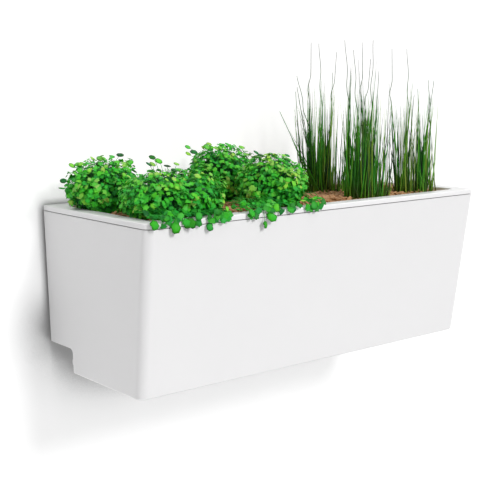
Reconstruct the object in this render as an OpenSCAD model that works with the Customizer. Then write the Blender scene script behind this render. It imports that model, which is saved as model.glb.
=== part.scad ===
// Self-watering planter box that hangs on a wall rail, planted. Millimetres, +Z up.
// The wall is the plane y = 0, and the box stands out from it towards -Y.
// The origin is the middle of the wall rail's four screw holes.
// Heights of the box's pieces are counted from the underside of its shell.

/* [Shell] */
// Width of the shell across its top
shell_w = 600; // [540:5:720]
// Depth of the shell at its top
shell_d = 255; // [245:5:320]
// Height of the shell, up to the seam below the rim
shell_h = 217; // [207:1:250]
// How far the front leans in between its top and its bottom
front_lean = 30; // [10:1:40]
// How far each end leans in between its top and its bottom
end_lean = 4.5; // [0:0.5:8]
// Thickness of the shell's walls and floor
shell_wall = 3; // [2.5:0.5:4]
// Radius of the upright front corners
front_r = 12; // [8:1:30]
// Radius of the upright back corners
back_r = 2; // [1.5:0.5:8]
// Radius of the edge round the underside
foot_r = 3; // [1:0.5:5]
// Gap between the shell's back and the wall
wall_gap = 5; // [4:0.5:10]

/* [Step in the lower back] */
// Depth of the step from the shell's back
step_d = 61; // [54:1:68]
// Height of the step above the underside
step_h = 34; // [30:1:38]
// Radius of the step's inner corner
step_r = 7; // [2:1:10]
// Radius of the bead along the step's upright face
bead_r = 6; // [4:0.5:7]
// How far the bead stands out of that face
bead_proud = 3; // [1:0.5:4]
// Height of the middle of the bead
bead_z = 16; // [10:1:20]

/* [Wall rail] */
// Height of the screw pattern's middle above the shell's underside
rail_z = 140; // [134:1:146]
// Length of the rail
rail_len = 440; // [410:5:480]
// Thickness of the rail's sheet
rail_t = 2.5; // [2:0.25:3]
// How far the rail reaches below the middle of the screw pattern
rail_drop = 24; // [20:1:30]
// How far the rail's shelf lies above the middle of the screw pattern
shelf_up = 26; // [22:1:30]
// Height of the rail's lip above its shelf
lip_h = 12; // [8:1:16]
// Spacing of the screw holes along the rail
hole_dx = 360; // [300:5:390]
// Spacing of the screw holes up the rail
hole_dz = 24; // [18:1:28]
// Radius of the screw holes
hole_r = 2.75; // [2:0.25:3.5]
// Thickness of the shell's rib that hangs behind the rail's lip
hook_t = 3; // [2.5:0.5:4]
// How far the box lifts to come off the rail
unhook_lift = 20; // [18:1:24]
// Length of the shell's pocket beyond each end of the rail
pocket_over = 10; // [5:1:20]
// Radius of the rubber wall bumpers
bumper_r = 10; // [6:1:14]
// Distance of each bumper from the middle of the box
bumper_x = 255; // [230:5:262]
// Height of the bumpers
bumper_z = 62; // [56:1:70]

/* [Rim and liner] */
// Height of the rim above the seam
rim_h = 8; // [7:0.5:14]
// Width of the rim, from its outside to the opening
rim_w = 22; // [18:1:28]
// Radius of the rim's outer top edge
rim_r = 3; // [1:0.5:5]
// Height of the shadow gap in the seam
seam_h = 1; // [0.5:0.25:2]
// Depth of the shadow gap in the seam
seam_d = 1.4; // [0.6:0.1:1.8]
// Thickness of the liner's walls, floor and rim
liner_wall = 2.5; // [2:0.25:3.5]
// Radius of the liner's upright inner corners
liner_r = 14; // [8:1:24]
// Height of the liner's underside
liner_z = 65; // [60:1:76]
// Radius of the liner's legs
leg_r = 11; // [8:1:14]
// Distance of each leg from the end of the opening
leg_in = 73; // [65:1:80]
// Distance of the back legs from the shell's back
leg_back = 95; // [92:1:105]
// Distance between the back and the front legs
leg_dy = 100; // [85:1:105]
// Clearance under the legs
leg_clear = 0.4; // [0.3:0.1:1]

/* [Soil and wicks] */
// Thickness of the wick mat on the liner's floor
mat_t = 3; // [2:0.5:5]
// Gap round the edge of the wick mat and the soil
soil_gap = 0.5; // [0.3:0.1:1.5]
// Width of each wick tail
tail_w = 48; // [30:2:60]
// Thickness of each wick tail
tail_t = 3; // [2:0.5:5]
// Distance of each wick tail from the middle of the box
tail_x = 110; // [90:5:140]
// Distance of the wick tails from the shell's back
tail_back = 145; // [138:1:152]
// Clearance round a wick tail in its slot
tail_clear = 0.6; // [0.3:0.1:1.5]
// Height of the lower ends of the wick tails
tail_z = 8; // [5:1:15]
// Thickness of the bark mulch
mulch_t = 10; // [6:1:20]
// How far the mulch lies below the top of the rim
mulch_drop = 6; // [3:0.5:8]

/* [Filler and level indicator] */
// Distance of the filler from the left edge of the opening
filler_in = 112; // [108:1:116]
// Distance of the filler and the indicator from the shell's back
tubes_back = 92; // [91:1:100]
// Outer radius of the filler tube
filler_r = 15; // [12:0.5:16]
// Wall of the filler and indicator tubes
tube_wall = 1.8; // [1.2:0.1:2.5]
// Height of the filler tube's lower end
filler_z = 12; // [8:1:20]
// How far the filler tube rises above the mulch
filler_up = 8; // [7:1:14]
// Width of the collar outside the filler tube
collar_w = 4; // [3:0.5:6]
// Thickness of the filler lid
lid_t = 3.5; // [2.5:0.5:5]
// Thickness of the seal under the lid
seal_t = 1.2; // [0.8:0.1:2]
// Radius of the lid's hinge pin
pin_r = 1.5; // [1:0.1:1.7]
// Distance between the filler and the indicator
tubes_dx = 42; // [40:1:46]
// Outer radius of the indicator tube
gauge_r = 11; // [9.5:0.5:13]
// Height of the indicator tube's lower end
gauge_z = 8; // [6:1:14]
// Height of the clear cap above the indicator tube
cap_h = 34; // [33:1:44]
// Length of the float
float_h = 22; // [16:1:30]
// Travel of the float
float_lift = 30; // [20:1:31]

/* [Overflow] */
// Distance of the overflow from the middle of the box
spigot_x = 150; // [120:5:180]
// Distance of the overflow from the shell's back
spigot_back = 33; // [30:1:38]
// Radius of the spigot's threaded shank
shank_r = 7; // [6:0.25:8]
// Radius of the tail that a hose pushes on
tail_r = 6; // [5:0.25:6]
// Radius of the spigot's bore
bore_r = 4.5; // [3.5:0.25:4.75]
// Height of the lower end of the tail
spigot_z = 14; // [12:1:16]
// How far the standpipe's top lies below the liner
overflow_drop = 7; // [4:0.5:12]
// Travel that frees the bung
bung_pull = 11; // [9:0.5:14]

/* [Planting] */
// Clear strip between the back and the front row of cress
row_gap = 10; // [6:1:20]
// How far the front row leans over the rim
overhang = 10; // [0:1:16]
// Distance of the back left cress from the left edge of the opening
back_left_in = 30; // [26:1:34]
// Half width of the back left cress
back_left_r = 52; // [40:1:56]
// Distance of the front left cress from the left edge of the opening
front_left_in = 64; // [58:1:70]
// Half width of the front left cress
front_left_r = 74; // [60:1:80]
// Distance of the back middle cress from the left edge of the opening
back_middle_in = 228; // [222:1:250]
// Half width of the back middle cress
back_middle_r = 50; // [40:1:54]
// Distance of the front middle cress from the left edge of the opening
front_middle_in = 226; // [216:1:250]
// Half width of the front middle cress
front_middle_r = 42; // [34:1:48]
// Height of the tallest cress above the mulch
cress_h = 82; // [50:1:110]
// Height of the tallest rush above the mulch
rush_h = 230; // [120:2:260]
// Radius of each of the three stands of rushes
stand_r = 33; // [28:1:34]
// Distance of the left stand from the opening's right edge
left_stand_in = 140; // [138:1:160]
// How far the left stand is set back from the opening's front edge
left_stand_back = 141; // [139:1:151]
// Distance of the middle stand from the opening's right edge
middle_stand_in = 150; // [132:1:160]
// How far the middle stand is set back from the opening's front edge
middle_stand_back = 38; // [35:1:69]
// Distance of the right stand from the opening's right edge
right_stand_in = 46; // [44:1:60]
// How far the right stand is set back from the opening's front edge
right_stand_back = 40; // [35:1:101]
// How far a stand has widened at the height of the tallest rush, as a share of its width
rush_fan = 0.4; // [0:0.05:0.6]
// Radius of a rush at its foot
stem_r = 1.9; // [1.2:0.1:2.4]
// Rushes in each stand
stem_count = 55; // [20:1:60]
// Rushes in the middle of each stand that reach the full height
tall_count = 4; // [1:1:8]

/* [Hidden] */

$fn = 48;
// Sides of the rounded corners of the moulded shell and liner
corner_fn = 32;
// Reach of a cut past the face that it opens
over = 1;
// Thickness of the slices that a moulded block is spanned between
slice = 0.2;
// Running clearance between a pin and its hole
run_gap = 0.08;
// Clearance between pieces that are pushed together
push_gap = 0.1;
// Clearance between pieces that only lie next to each other
free_gap = 0.4;

// Heights that the pieces stack up to
rim_top = shell_h + rim_h;
mulch_z = rim_top - mulch_drop;
soil_top = mulch_z - mulch_t;
mat_z = liner_z + liner_wall;
soil_z = mat_z + mat_t;

// Outline of the shell and of the opening inside the rim
back_y = -wall_gap;
function lean(z) = (shell_h - z) / shell_h;
function half_w(z) = shell_w / 2 - end_lean * lean(z);
function front_y(z) = back_y - shell_d + front_lean * lean(z);
// Radius of an upright corner where the outline is drawn in, never quite sharp
least_r = 0.5;
function drawn_in(r, inset) = max(r - inset, least_r);
open_x = shell_w / 2 - rim_w;
open_back = back_y - rim_w;
open_front = back_y - shell_d + rim_w;
open_d = open_back - open_front;

// Radius of the liner's upright outer corners
tub_r = liner_r + liner_wall;
// The legs end inside the liner's floor
leg_h = liner_z + liner_wall / 2 - shell_wall - leg_clear;

// How far the bead ends inside each end of the shell
bead_in = 0.5;

// Rail and pocket
shelf_z = rail_z + shelf_up;
hook_gap = 0.5;
lip_in = wall_gap + hook_t + hook_gap;
lip_out = lip_in + rail_t;
pocket_clear = 3;
pocket_d = lip_out + pocket_clear - wall_gap;
pocket_w = rail_len + 2 * pocket_over;
pocket_z = rail_z - rail_drop - unhook_lift - pocket_clear;
pocket_top = shelf_z + lip_h + pocket_clear;

// Overflow fittings
spigot_y = back_y - spigot_back;
ledge_z = step_h + shell_wall;
flange_w = 5;
flange_t = 3;
gasket_t = 2;
shank_down = 9;
nut_h = 6;
flange_z = ledge_z + gasket_t;
pipe_z = flange_z + flange_t;
overflow_z = liner_z - overflow_drop;
plug_free = 3;
plug_h = bung_pull - plug_free;
plug_head_h = 4;
plug_head_r = (bore_r + tail_r) / 2;

// Filler and indicator
filler_x = -open_x + filler_in;
gauge_x = filler_x + tubes_dx;
tubes_y = back_y - tubes_back;
tube_flange_w = 4;
tube_flange_t = 2;
// Gap between the mulch and the collar or cap above it
mulch_clear = 1.5;
filler_top = mulch_z + filler_up;
collar_r = filler_r + collar_w;
collar_lip = 2;
collar_z = mulch_z + mulch_clear;
collar_top = filler_top + collar_lip;
lid_z = collar_top + seal_t + free_gap;
knuckle_wall = 1.7;
knuckle_r = pin_r + knuckle_wall;
knuckle_w = 10;
lug_w = 5;
hinge_gap = 1.8;
pin_up = 1;
pin_y = tubes_y + collar_r + knuckle_r + hinge_gap;
pin_z = lid_z + pin_up;
lug_span = knuckle_w + 2 * (free_gap + lug_w);
gauge_up = 6;
gauge_top = mulch_z + gauge_up;
gauge_lip = 3.5;
float_z = gauge_z + tube_wall + free_gap;
float_clear = 0.7;
rod_r = 1.5;
rod_gap = 0.3;
marker_h = 8;
marker_r = 5;
marker_clear = 2;
marker_top = gauge_top + cap_h - tube_wall - float_lift - marker_clear;
guide_h = 6;
guide_below = 12;
guide_z = marker_top - marker_h - guide_h - guide_below;
cap_z = mulch_z + mulch_clear;
gauge_flange_r = gauge_r + tube_flange_w;

// Cress mounds, in a back and a front row
back_edge = 6;
row_back_r = (open_d / 2 - row_gap / 2 - back_edge) / 2;
row_front_r = (open_d / 2 - row_gap / 2 + overhang) / 2;
row_back_y = open_back - back_edge - row_back_r;
row_front_y = open_front - overhang + row_front_r;
foot_share = 0.85;
foot_clear = 1.5;
mound_sides = 28;
mound_lump = 0.07;

// Rush stands, whose stems stand on a spiral of even spacing
crown_h = 4;
spiral_turn = 137.5;
// Shares of a rush's height and radius
shortest = 0.5;
side_drop = 0.22;
stem_middle = 0.8;
stem_tip = 0.3;
// Room round a stem's foot, in radii
stem_room = 1.5;

module hung() translate([0, 0, -rail_z]) children();

module along_x(length) translate([-length / 2, 0, 0]) rotate([90, 0, 90]) linear_extrude(length) children();

module ring(r_out, r_in, z, height) translate([0, 0, z]) difference() {
    cylinder(r = r_out, h = height);
    translate([0, 0, -over]) cylinder(r = r_in, h = height + 2 * over);
}

// Four corner slices at height z of the box's outline at a level, drawn in by inset on every side
module corners(z, level, inset, r_front, r_back) for (side = [-1, 1]) {
    translate([side * (half_w(level) - inset - r_front), front_y(level) + inset + r_front, z])
        cylinder(r = r_front, h = slice, $fn = corner_fn);
    translate([side * (half_w(level) - inset - r_back), back_y - inset - r_back, z])
        cylinder(r = r_back, h = slice, $fn = corner_fn);
}

// A block that follows the lean of the box between two heights
module block(z_low, z_high, inset, r_front, r_back) hull() {
    corners(z_low, z_low, inset, r_front, r_back);
    corners(z_high - slice, z_high - slice, inset, r_front, r_back);
}

// A quarter turn of a rounded outline, from angle a on
function arc(x, y, r, a) = [for (i = [0:8]) [x + r * cos(a + i * 90 / 8), y + r * sin(a + i * 90 / 8)]];

// An upright block with the outline of the shell's top, drawn in by inset on every side
module rim_block(z_low, z_high, inset, r_front, r_back) {
    x = shell_w / 2 - inset;
    y_back = back_y - inset - r_back;
    y_front = front_y(shell_h) + inset + r_front;
    translate([0, 0, z_low]) linear_extrude(z_high - z_low) polygon(concat(
        arc(x - r_back, y_back, r_back, 0), arc(r_back - x, y_back, r_back, 90),
        arc(r_front - x, y_front, r_front, 180), arc(x - r_front, y_front, r_front, 270)
    ));
}

module shell_solid() hull() {
    for (a = [0:30:90]) {
        z = foot_r * (1 - sin(a));
        corners(z, z, foot_r * (1 - cos(a)), front_r, back_r);
    }
    corners(shell_h - slice, shell_h, 0, front_r, back_r);
}

// Section of the step, or of the wall that lines it when grown
module step_section(grow) {
    y_in = back_y - step_d - grow;
    z_in = step_h + grow;
    r = step_r + grow;
    polygon(concat(
        [[back_y + over, -over], [back_y + over, z_in]],
        [for (a = [90:15:180]) [y_in + r + r * cos(a), z_in - r + r * sin(a)]],
        [[y_in, -over]]
    ));
}

module shell_bead() translate([0, back_y - step_d - bead_r + bead_proud, bead_z]) rotate([0, 90, 0])
    cylinder(r = bead_r, h = 2 * (half_w(bead_z) - bead_in), center = true);

module pocket_lining()
    translate([-pocket_w / 2 - shell_wall, back_y - pocket_d - shell_wall, pocket_z - shell_wall])
        cube([pocket_w + 2 * shell_wall, pocket_d + shell_wall, pocket_top - pocket_z + 2 * shell_wall]);

// Room for the rail: open to the back below the rib, and closed by the rib above it
module pocket_room() {
    translate([-pocket_w / 2, back_y - pocket_d, pocket_z])
        cube([pocket_w, pocket_d + over, shelf_z - pocket_z]);
    translate([-pocket_w / 2, back_y - pocket_d, pocket_z])
        cube([pocket_w, pocket_d - hook_t, pocket_top - pocket_z]);
}

module wall_rail() color("silver") difference() {
    along_x(rail_len) polygon([
        [0, -rail_drop], [0, shelf_up], [-lip_in, shelf_up], [-lip_in, shelf_up + lip_h],
        [-lip_out, shelf_up + lip_h], [-lip_out, shelf_up - rail_t], [-rail_t, shelf_up - rail_t],
        [-rail_t, -rail_drop]
    ]);
    for (x = [-1, 1], z = [-1, 1])
        translate([x * hole_dx / 2, over, z * hole_dz / 2]) rotate([90, 0, 0])
            cylinder(r = hole_r, h = rail_t + 2 * over);
}

module outer_shell() color("white") hung() difference() {
    union() {
        difference() {
            shell_solid();
            difference() {
                block(shell_wall, shell_h + over, shell_wall,
                    drawn_in(front_r, shell_wall), drawn_in(back_r, shell_wall));
                along_x(shell_w) step_section(shell_wall);
            }
            along_x(shell_w) step_section(0);
        }
        shell_bead();
        pocket_lining();
    }
    pocket_room();
    translate([spigot_x, spigot_y, step_h - over])
        cylinder(r = shank_r + free_gap, h = shell_wall + 2 * over);
}

module wall_bumpers() color("dimgray") hung() for (side = [-1, 1])
    translate([side * bumper_x, back_y, bumper_z]) rotate([-90, 0, 0]) cylinder(r = bumper_r, h = wall_gap);

module at_spigot() hung() translate([spigot_x, spigot_y, 0]) children();

module drain_spigot() color("whitesmoke") at_spigot() difference() {
    union() {
        translate([0, 0, flange_z]) cylinder(r = shank_r + flange_w, h = flange_t);
        translate([0, 0, step_h - shank_down]) cylinder(r = shank_r, h = flange_z - step_h + shank_down);
        translate([0, 0, spigot_z]) cylinder(r = tail_r, h = step_h - shank_down - spigot_z);
    }
    translate([0, 0, spigot_z - over]) cylinder(r = bore_r, h = pipe_z - spigot_z + 2 * over);
}

module spigot_seal() color("black") at_spigot()
    ring(shank_r + flange_w, shank_r + push_gap, ledge_z, gasket_t);

module spigot_nut() color("whitesmoke") at_spigot() difference() {
    translate([0, 0, step_h - nut_h]) cylinder(r = shank_r + flange_w, h = nut_h, $fn = 6);
    translate([0, 0, step_h - nut_h - over]) cylinder(r = shank_r + run_gap, h = nut_h + 2 * over);
}

// The standpipe's plug sits in the top of the spigot, and its rim sets the water level
module overflow_standpipe() color("whitesmoke") at_spigot() difference() {
    union() {
        translate([0, 0, flange_z]) cylinder(r = bore_r - push_gap, h = flange_t);
        translate([0, 0, pipe_z]) cylinder(r = shank_r, h = overflow_z - pipe_z);
    }
    translate([0, 0, flange_z - over])
        cylinder(r = bore_r - tube_wall, h = overflow_z - flange_z + 2 * over);
}

module drain_bung() color("dimgray") at_spigot() {
    translate([0, 0, spigot_z]) cylinder(r = bore_r - push_gap, h = plug_h);
    translate([0, 0, spigot_z - plug_head_h]) cylinder(r = plug_head_r, h = plug_head_h);
}

// The rim: a flange with a rounded top, set back in a shadow gap at the seam and hollow from below
module rim_shape() difference() {
    edge_z = rim_top - slice;
    union() {
        rim_block(shell_h, shell_h + seam_h + slice, seam_d,
            drawn_in(front_r, seam_d), drawn_in(back_r, seam_d));
        hull() {
            corners(shell_h + seam_h, shell_h, 0, front_r, back_r);
            for (a = [0:30:90])
                corners(edge_z - rim_r * (1 - sin(a)), shell_h, rim_r * (1 - cos(a)), front_r, back_r);
        }
    }
    rim_block(shell_h - over, rim_top - liner_wall, shell_wall + liner_wall,
        drawn_in(front_r, shell_wall), back_r);
}

module planter_liner() color("white") hung() difference() {
    union() {
        rim_shape();
        block(liner_z, rim_top - liner_wall / 2, rim_w - liner_wall, tub_r, tub_r);
        for (side = [-1, 1], row = [0, 1])
            translate([side * (open_x - leg_in), back_y - leg_back - row * leg_dy, shell_wall + leg_clear])
                cylinder(r = leg_r, h = leg_h);
    }
    block(mat_z, rim_top + over, rim_w, liner_r, liner_r);
    translate([filler_x, tubes_y, liner_z - over])
        cylinder(r = filler_r + push_gap, h = liner_wall + 2 * over);
    translate([gauge_x, tubes_y, liner_z - over])
        cylinder(r = gauge_r + push_gap, h = liner_wall + 2 * over);
    for (side = [-1, 1])
        translate([side * tail_x, back_y - tail_back, liner_z + liner_wall / 2])
            cube([tail_w + 2 * tail_clear, tail_t + 2 * tail_clear, liner_wall + 2 * over], center = true);
}

// A layer of what the liner holds, with room for the two tubes
module layer(z_low, z_high, filler_room, gauge_room) hung() difference() {
    block(z_low, z_high, rim_w + soil_gap, liner_r, liner_r);
    translate([filler_x, tubes_y, z_low - over]) cylinder(r = filler_room, h = z_high - z_low + 2 * over);
    translate([gauge_x, tubes_y, z_low - over]) cylinder(r = gauge_room, h = z_high - z_low + 2 * over);
}

module wick_mat() color("beige")
    layer(mat_z, soil_z, filler_r + tube_flange_w + free_gap, gauge_flange_r + free_gap);

module soil_fill() color("saddlebrown")
    layer(soil_z, soil_top, filler_r + free_gap, gauge_r + free_gap);

module bark_mulch() color("peru")
    layer(soil_top, mulch_z, filler_r + free_gap, gauge_r + free_gap);

module wick_tails() color("beige") hung() for (side = [-1, 1])
    translate([side * tail_x - tail_w / 2, back_y - tail_back - tail_t / 2, tail_z])
        cube([tail_w, tail_t, mat_z - tail_z]);

module at_filler() hung() translate([filler_x, tubes_y, 0]) children();

module filler_tube() color("white") at_filler() {
    ring(filler_r, filler_r - tube_wall, filler_z, filler_top - filler_z);
    ring(filler_r + tube_flange_w, filler_r - tube_wall, mat_z, tube_flange_t);
}

// Collar over the tube's top, with two lugs for the lid's hinge on the wall side
module filler_collar() color("white") at_filler() difference() {
    union() {
        translate([0, 0, collar_z]) cylinder(r = collar_r, h = collar_top - collar_z);
        translate([-lug_span / 2, 0, collar_z])
            cube([lug_span, pin_y - tubes_y + knuckle_r, pin_z - knuckle_r - free_gap - collar_z]);
        for (side = [-1, 1])
            translate([side * (lug_span - lug_w) / 2, pin_y - tubes_y, collar_z])
                translate([-lug_w / 2, -knuckle_r, 0])
                    cube([lug_w, 2 * knuckle_r, pin_z + knuckle_r - collar_z]);
    }
    translate([0, 0, collar_z - over]) cylinder(r = filler_r + push_gap, h = filler_top - collar_z + over);
    translate([0, 0, collar_z]) cylinder(r = filler_r - tube_wall, h = collar_top - collar_z + over);
    translate([0, pin_y - tubes_y, pin_z]) rotate([0, 90, 0])
        cylinder(r = pin_r + run_gap, h = lug_span + 2 * over, center = true);
}

module lid_hinge_pin() color("silver") hung() translate([filler_x, pin_y, pin_z]) rotate([0, 90, 0])
    cylinder(r = pin_r, h = lug_span, center = true);

// Round lid with a knuckle on the pin and a finger tab at its front
module filler_lid() color("white") at_filler() difference() {
    union() {
        translate([0, 0, lid_z]) cylinder(r = collar_r, h = lid_t);
        translate([-knuckle_w / 2, 0, lid_z]) cube([knuckle_w, pin_y - tubes_y, lid_t]);
        translate([-knuckle_w / 2, -collar_r - collar_w, lid_z]) cube([knuckle_w, collar_r, lid_t]);
        translate([0, pin_y - tubes_y, pin_z]) rotate([0, 90, 0])
            cylinder(r = knuckle_r, h = knuckle_w, center = true);
    }
    translate([0, pin_y - tubes_y, pin_z]) rotate([0, 90, 0])
        cylinder(r = pin_r + run_gap, h = knuckle_w + 2 * over, center = true);
}

module lid_seal() color("dimgray") at_filler()
    ring(collar_r - free_gap, filler_r - tube_wall + free_gap, lid_z - seal_t, seal_t);

module at_gauge() hung() translate([gauge_x, tubes_y, 0]) children();

// The indicator's tube, with a lip at its foot that keeps the float in
module indicator_tube() color("white") at_gauge() {
    ring(gauge_r, gauge_r - tube_wall, gauge_z, gauge_top - gauge_z);
    ring(gauge_r, gauge_r - gauge_lip, gauge_z, tube_wall);
    ring(gauge_flange_r, gauge_r - tube_wall, mat_z, tube_flange_t);
}

module rod_guide() color("whitesmoke") at_gauge()
    ring(gauge_r - tube_wall - push_gap, rod_r + rod_gap, guide_z, guide_h);

module indicator_cap() color("lightcyan", 0.5) at_gauge() difference() {
    union() {
        translate([0, 0, cap_z]) cylinder(r = gauge_r + tube_wall, h = gauge_top + cap_h - cap_z - tube_wall);
        translate([0, 0, gauge_top + cap_h - tube_wall])
            cylinder(r1 = gauge_r + tube_wall, r2 = gauge_r, h = tube_wall);
    }
    translate([0, 0, cap_z - over]) cylinder(r = gauge_r + push_gap, h = gauge_top - cap_z + over);
    translate([0, 0, cap_z]) cylinder(r = gauge_r - tube_wall, h = gauge_top + cap_h - tube_wall - cap_z);
}

module level_float() color("white") at_gauge() translate([0, 0, float_z])
    cylinder(r = gauge_r - tube_wall - float_clear, h = float_h);

module float_rod() color("silver") at_gauge() translate([0, 0, float_z + float_h])
    cylinder(r = rod_r, h = marker_top - marker_h - float_z - float_h);

module level_marker() color("red") at_gauge() translate([0, 0, marker_top - marker_h])
    cylinder(r = marker_r, h = marker_h);

// Rings of a leafy mound: [share of its radius, height]. It rises straight past the rim, then swells out.
function mound_rings(height) = let (lip = mulch_drop + 2, up = height - lip) [
    [foot_share, 0], [foot_share, lip], [0.93, lip + 0.14 * up], [1, lip + 0.34 * up],
    [0.95, lip + 0.58 * up], [0.74, lip + 0.82 * up], [0.4, lip + 0.96 * up]
];

// How far a mound swells or dips in one direction, none at its foot
function swell(ring, a, lobes) = ring < 2 ? 1 : 1 + mound_lump * sin(lobes * a + 100 * ring);

// The foot of a mound stays inside the opening
function inside(ring, p) = ring < 2 ? [max(p.x, -open_x + foot_clear), max(p.y, open_front + foot_clear)] : p;

module mound(x, y, rx, ry, height, lobes) {
    rings = mound_rings(height);
    last = len(rings) - 1;
    points = concat(
        [for (i = [0:last], j = [0:mound_sides - 1])
            let (a = 360 * j / mound_sides, s = rings[i][0] * swell(i, a, lobes))
                concat(inside(i, [x + rx * s * cos(a), y + ry * s * sin(a)]), mulch_z + rings[i][1])],
        [[x, y, mulch_z], [x, y, mulch_z + height]]
    );
    foot = len(points) - 2;
    tip = len(points) - 1;
    function at(i, j) = i * mound_sides + j % mound_sides;
    polyhedron(points, concat(
        [for (j = [0:mound_sides - 1]) [foot, at(0, j), at(0, j + 1)]],
        [for (i = [0:last - 1], j = [0:mound_sides - 1]) [at(i, j), at(i + 1, j), at(i, j + 1)]],
        [for (i = [0:last - 1], j = [0:mound_sides - 1]) [at(i, j + 1), at(i + 1, j), at(i + 1, j + 1)]],
        [for (j = [0:mound_sides - 1]) [at(last, j), tip, at(last, j + 1)]]
    ));
}

module cress(colour, from_left, rx, y, ry, share, lobes) color(colour) hung()
    mound(-open_x + from_left, y, rx, ry, cress_h * share, lobes);

module cress_back_left() cress("yellowgreen", back_left_in, back_left_r, row_back_y, row_back_r, 0.88, 5);

module cress_front_left() cress("limegreen", front_left_in, front_left_r, row_front_y, row_front_r, 0.76, 6);

module cress_back_middle() cress("limegreen", back_middle_in, back_middle_r, row_back_y, row_back_r, 1, 4);

module cress_front_middle()
    cress("yellowgreen", front_middle_in, front_middle_r, row_front_y, row_front_r, 0.9, 5);

// One stand of rushes on a shared round crown, whose stems lean out from its middle
module rush_stand(from_right, set_back, seed) {
    x = open_x - from_right;
    y = open_front + set_back;
    outermost = stand_r - stem_room * stem_r;
    luck = rands(0, 1, stem_count, seed);
    function out(k) = sqrt((k + 0.5) / stem_count);
    // Few stems are tall, and those at the edge of the stand are shorter
    function stem_h(k) = k < tall_count ? rush_h
        : rush_h * (shortest + (1 - shortest) * pow(luck[k], 2)) * (1 - side_drop * pow(out(k), 2));
    // Rings of a stem: inside the crown, half way up and at the tip
    function rings(k) = [[crown_h / 2, 1], [stem_h(k) / 2, stem_middle], [stem_h(k), stem_tip]];
    function stem_points(k) = [for (r = rings(k), a = [0:90:270])
        let (lean_out = outermost * out(k) * (1 + rush_fan * r[0] / rush_h), thick = stem_r * r[1])
            [x + lean_out * cos(spiral_turn * k + seed) + thick * cos(a),
                y + lean_out * sin(spiral_turn * k + seed) + thick * sin(a), mulch_z + r[0]]];
    module stem(k) polyhedron(stem_points(k), concat(
        [[0, 1, 2], [0, 2, 3], [8, 10, 9], [8, 11, 10]],
        [for (i = [0, 4], j = [0:3]) [i + j, i + 4 + j, i + (j + 1) % 4]],
        [for (i = [0, 4], j = [0:3]) [i + (j + 1) % 4, i + 4 + j, i + 4 + (j + 1) % 4]]
    ));
    color("forestgreen") hung() union() {
        translate([x, y, mulch_z]) cylinder(r = stand_r, h = crown_h);
        for (k = [0:stem_count - 1]) stem(k);
    }
}

module rush_left() rush_stand(left_stand_in, left_stand_back, 31);

module rush_middle() rush_stand(middle_stand_in, middle_stand_back, 41);

module rush_right() rush_stand(right_stand_in, right_stand_back, 51);

wall_rail();
outer_shell();
wall_bumpers();
drain_spigot();
spigot_seal();
spigot_nut();
overflow_standpipe();
drain_bung();
planter_liner();
wick_mat();
wick_tails();
soil_fill();
bark_mulch();
filler_tube();
filler_collar();
lid_hinge_pin();
filler_lid();
lid_seal();
indicator_tube();
rod_guide();
indicator_cap();
level_float();
float_rod();
level_marker();
cress_back_left();
cress_front_left();
cress_back_middle();
cress_front_middle();
rush_left();
rush_middle();
rush_right();
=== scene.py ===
"""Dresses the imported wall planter: moulded shell, liner, felt wicks, bark mulch, cress and rushes.

All lengths are metres in the part's own frame: the wall is y = 0, the front faces -Y and +Z is up.
Heights called "level" are counted from the underside of the shell, as in the part's source.
"""

from __future__ import annotations

import logging
import math
from contextlib import contextmanager
from dataclasses import dataclass, field
from enum import Enum
from typing import Any, Callable, Iterator, Sequence

import bmesh
import bpy
import numpy as np
from mathutils import Matrix, Vector, noise

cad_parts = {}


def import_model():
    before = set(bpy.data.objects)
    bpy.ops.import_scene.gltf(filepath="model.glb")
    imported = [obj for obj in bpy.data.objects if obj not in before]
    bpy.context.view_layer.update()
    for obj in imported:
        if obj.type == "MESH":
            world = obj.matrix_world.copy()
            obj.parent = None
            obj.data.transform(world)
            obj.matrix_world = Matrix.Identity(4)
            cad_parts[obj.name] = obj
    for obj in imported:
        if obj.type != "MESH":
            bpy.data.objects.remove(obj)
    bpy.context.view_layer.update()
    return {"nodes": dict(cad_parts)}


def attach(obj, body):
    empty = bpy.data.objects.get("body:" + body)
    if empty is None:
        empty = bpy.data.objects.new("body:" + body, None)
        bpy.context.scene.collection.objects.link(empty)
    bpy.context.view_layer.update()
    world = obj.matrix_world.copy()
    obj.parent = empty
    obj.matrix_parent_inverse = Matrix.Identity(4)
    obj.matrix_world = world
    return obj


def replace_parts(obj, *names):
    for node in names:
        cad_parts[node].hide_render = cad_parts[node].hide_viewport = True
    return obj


LOG = logging.getLogger("planter")
DATUM = 0.140  # the origin's height above the shell's underside
LEAST_R = 0.0005  # radius of a corner that is all but sharp
NEAR = 1e-5  # places closer than this count as the same
OVER = 0.01  # how far a cutter reaches past what it cuts
Obj = bpy.types.Object
Rng = np.random.Generator
Pair = tuple[float, float]
Point = tuple[float, float, float]
Four = tuple[float, float, float, float]
Colour = Four
Inputs = dict[str | int, Any]
Test = Callable[[Vector, Vector], bool]


def at(level: float) -> float:
    """Turns a height above the shell's underside into the part's own z."""
    return level - DATUM


def srgb(red: int, green: int, blue: int) -> Colour:
    """Turns a display colour of 0 to 255 into the linear colour that a shader takes.

    Args:
        red: Its red part.
        green: Its green part.
        blue: Its blue part.

    Returns:
        The linear colour.
    """
    parts = [v / 255 for v in (red, green, blue)]
    line = [v / 12.92 if v <= 0.04045 else ((v + 0.055) / 1.055) ** 2.4 for v in parts]
    return (line[0], line[1], line[2], 1.0)


def grey(value: float) -> Colour:
    """Gives a neutral colour."""
    return (value, value, value, 1.0)


def any_turn(rng: Rng) -> float:
    """Draws an angle from the full circle."""
    return rng.uniform(0, 2 * math.pi)


def aside(rng: Rng, spread: float) -> np.ndarray:
    """Draws a small level offset."""
    return rng.normal(0, spread, 3) * (1, 1, 0)


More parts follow.
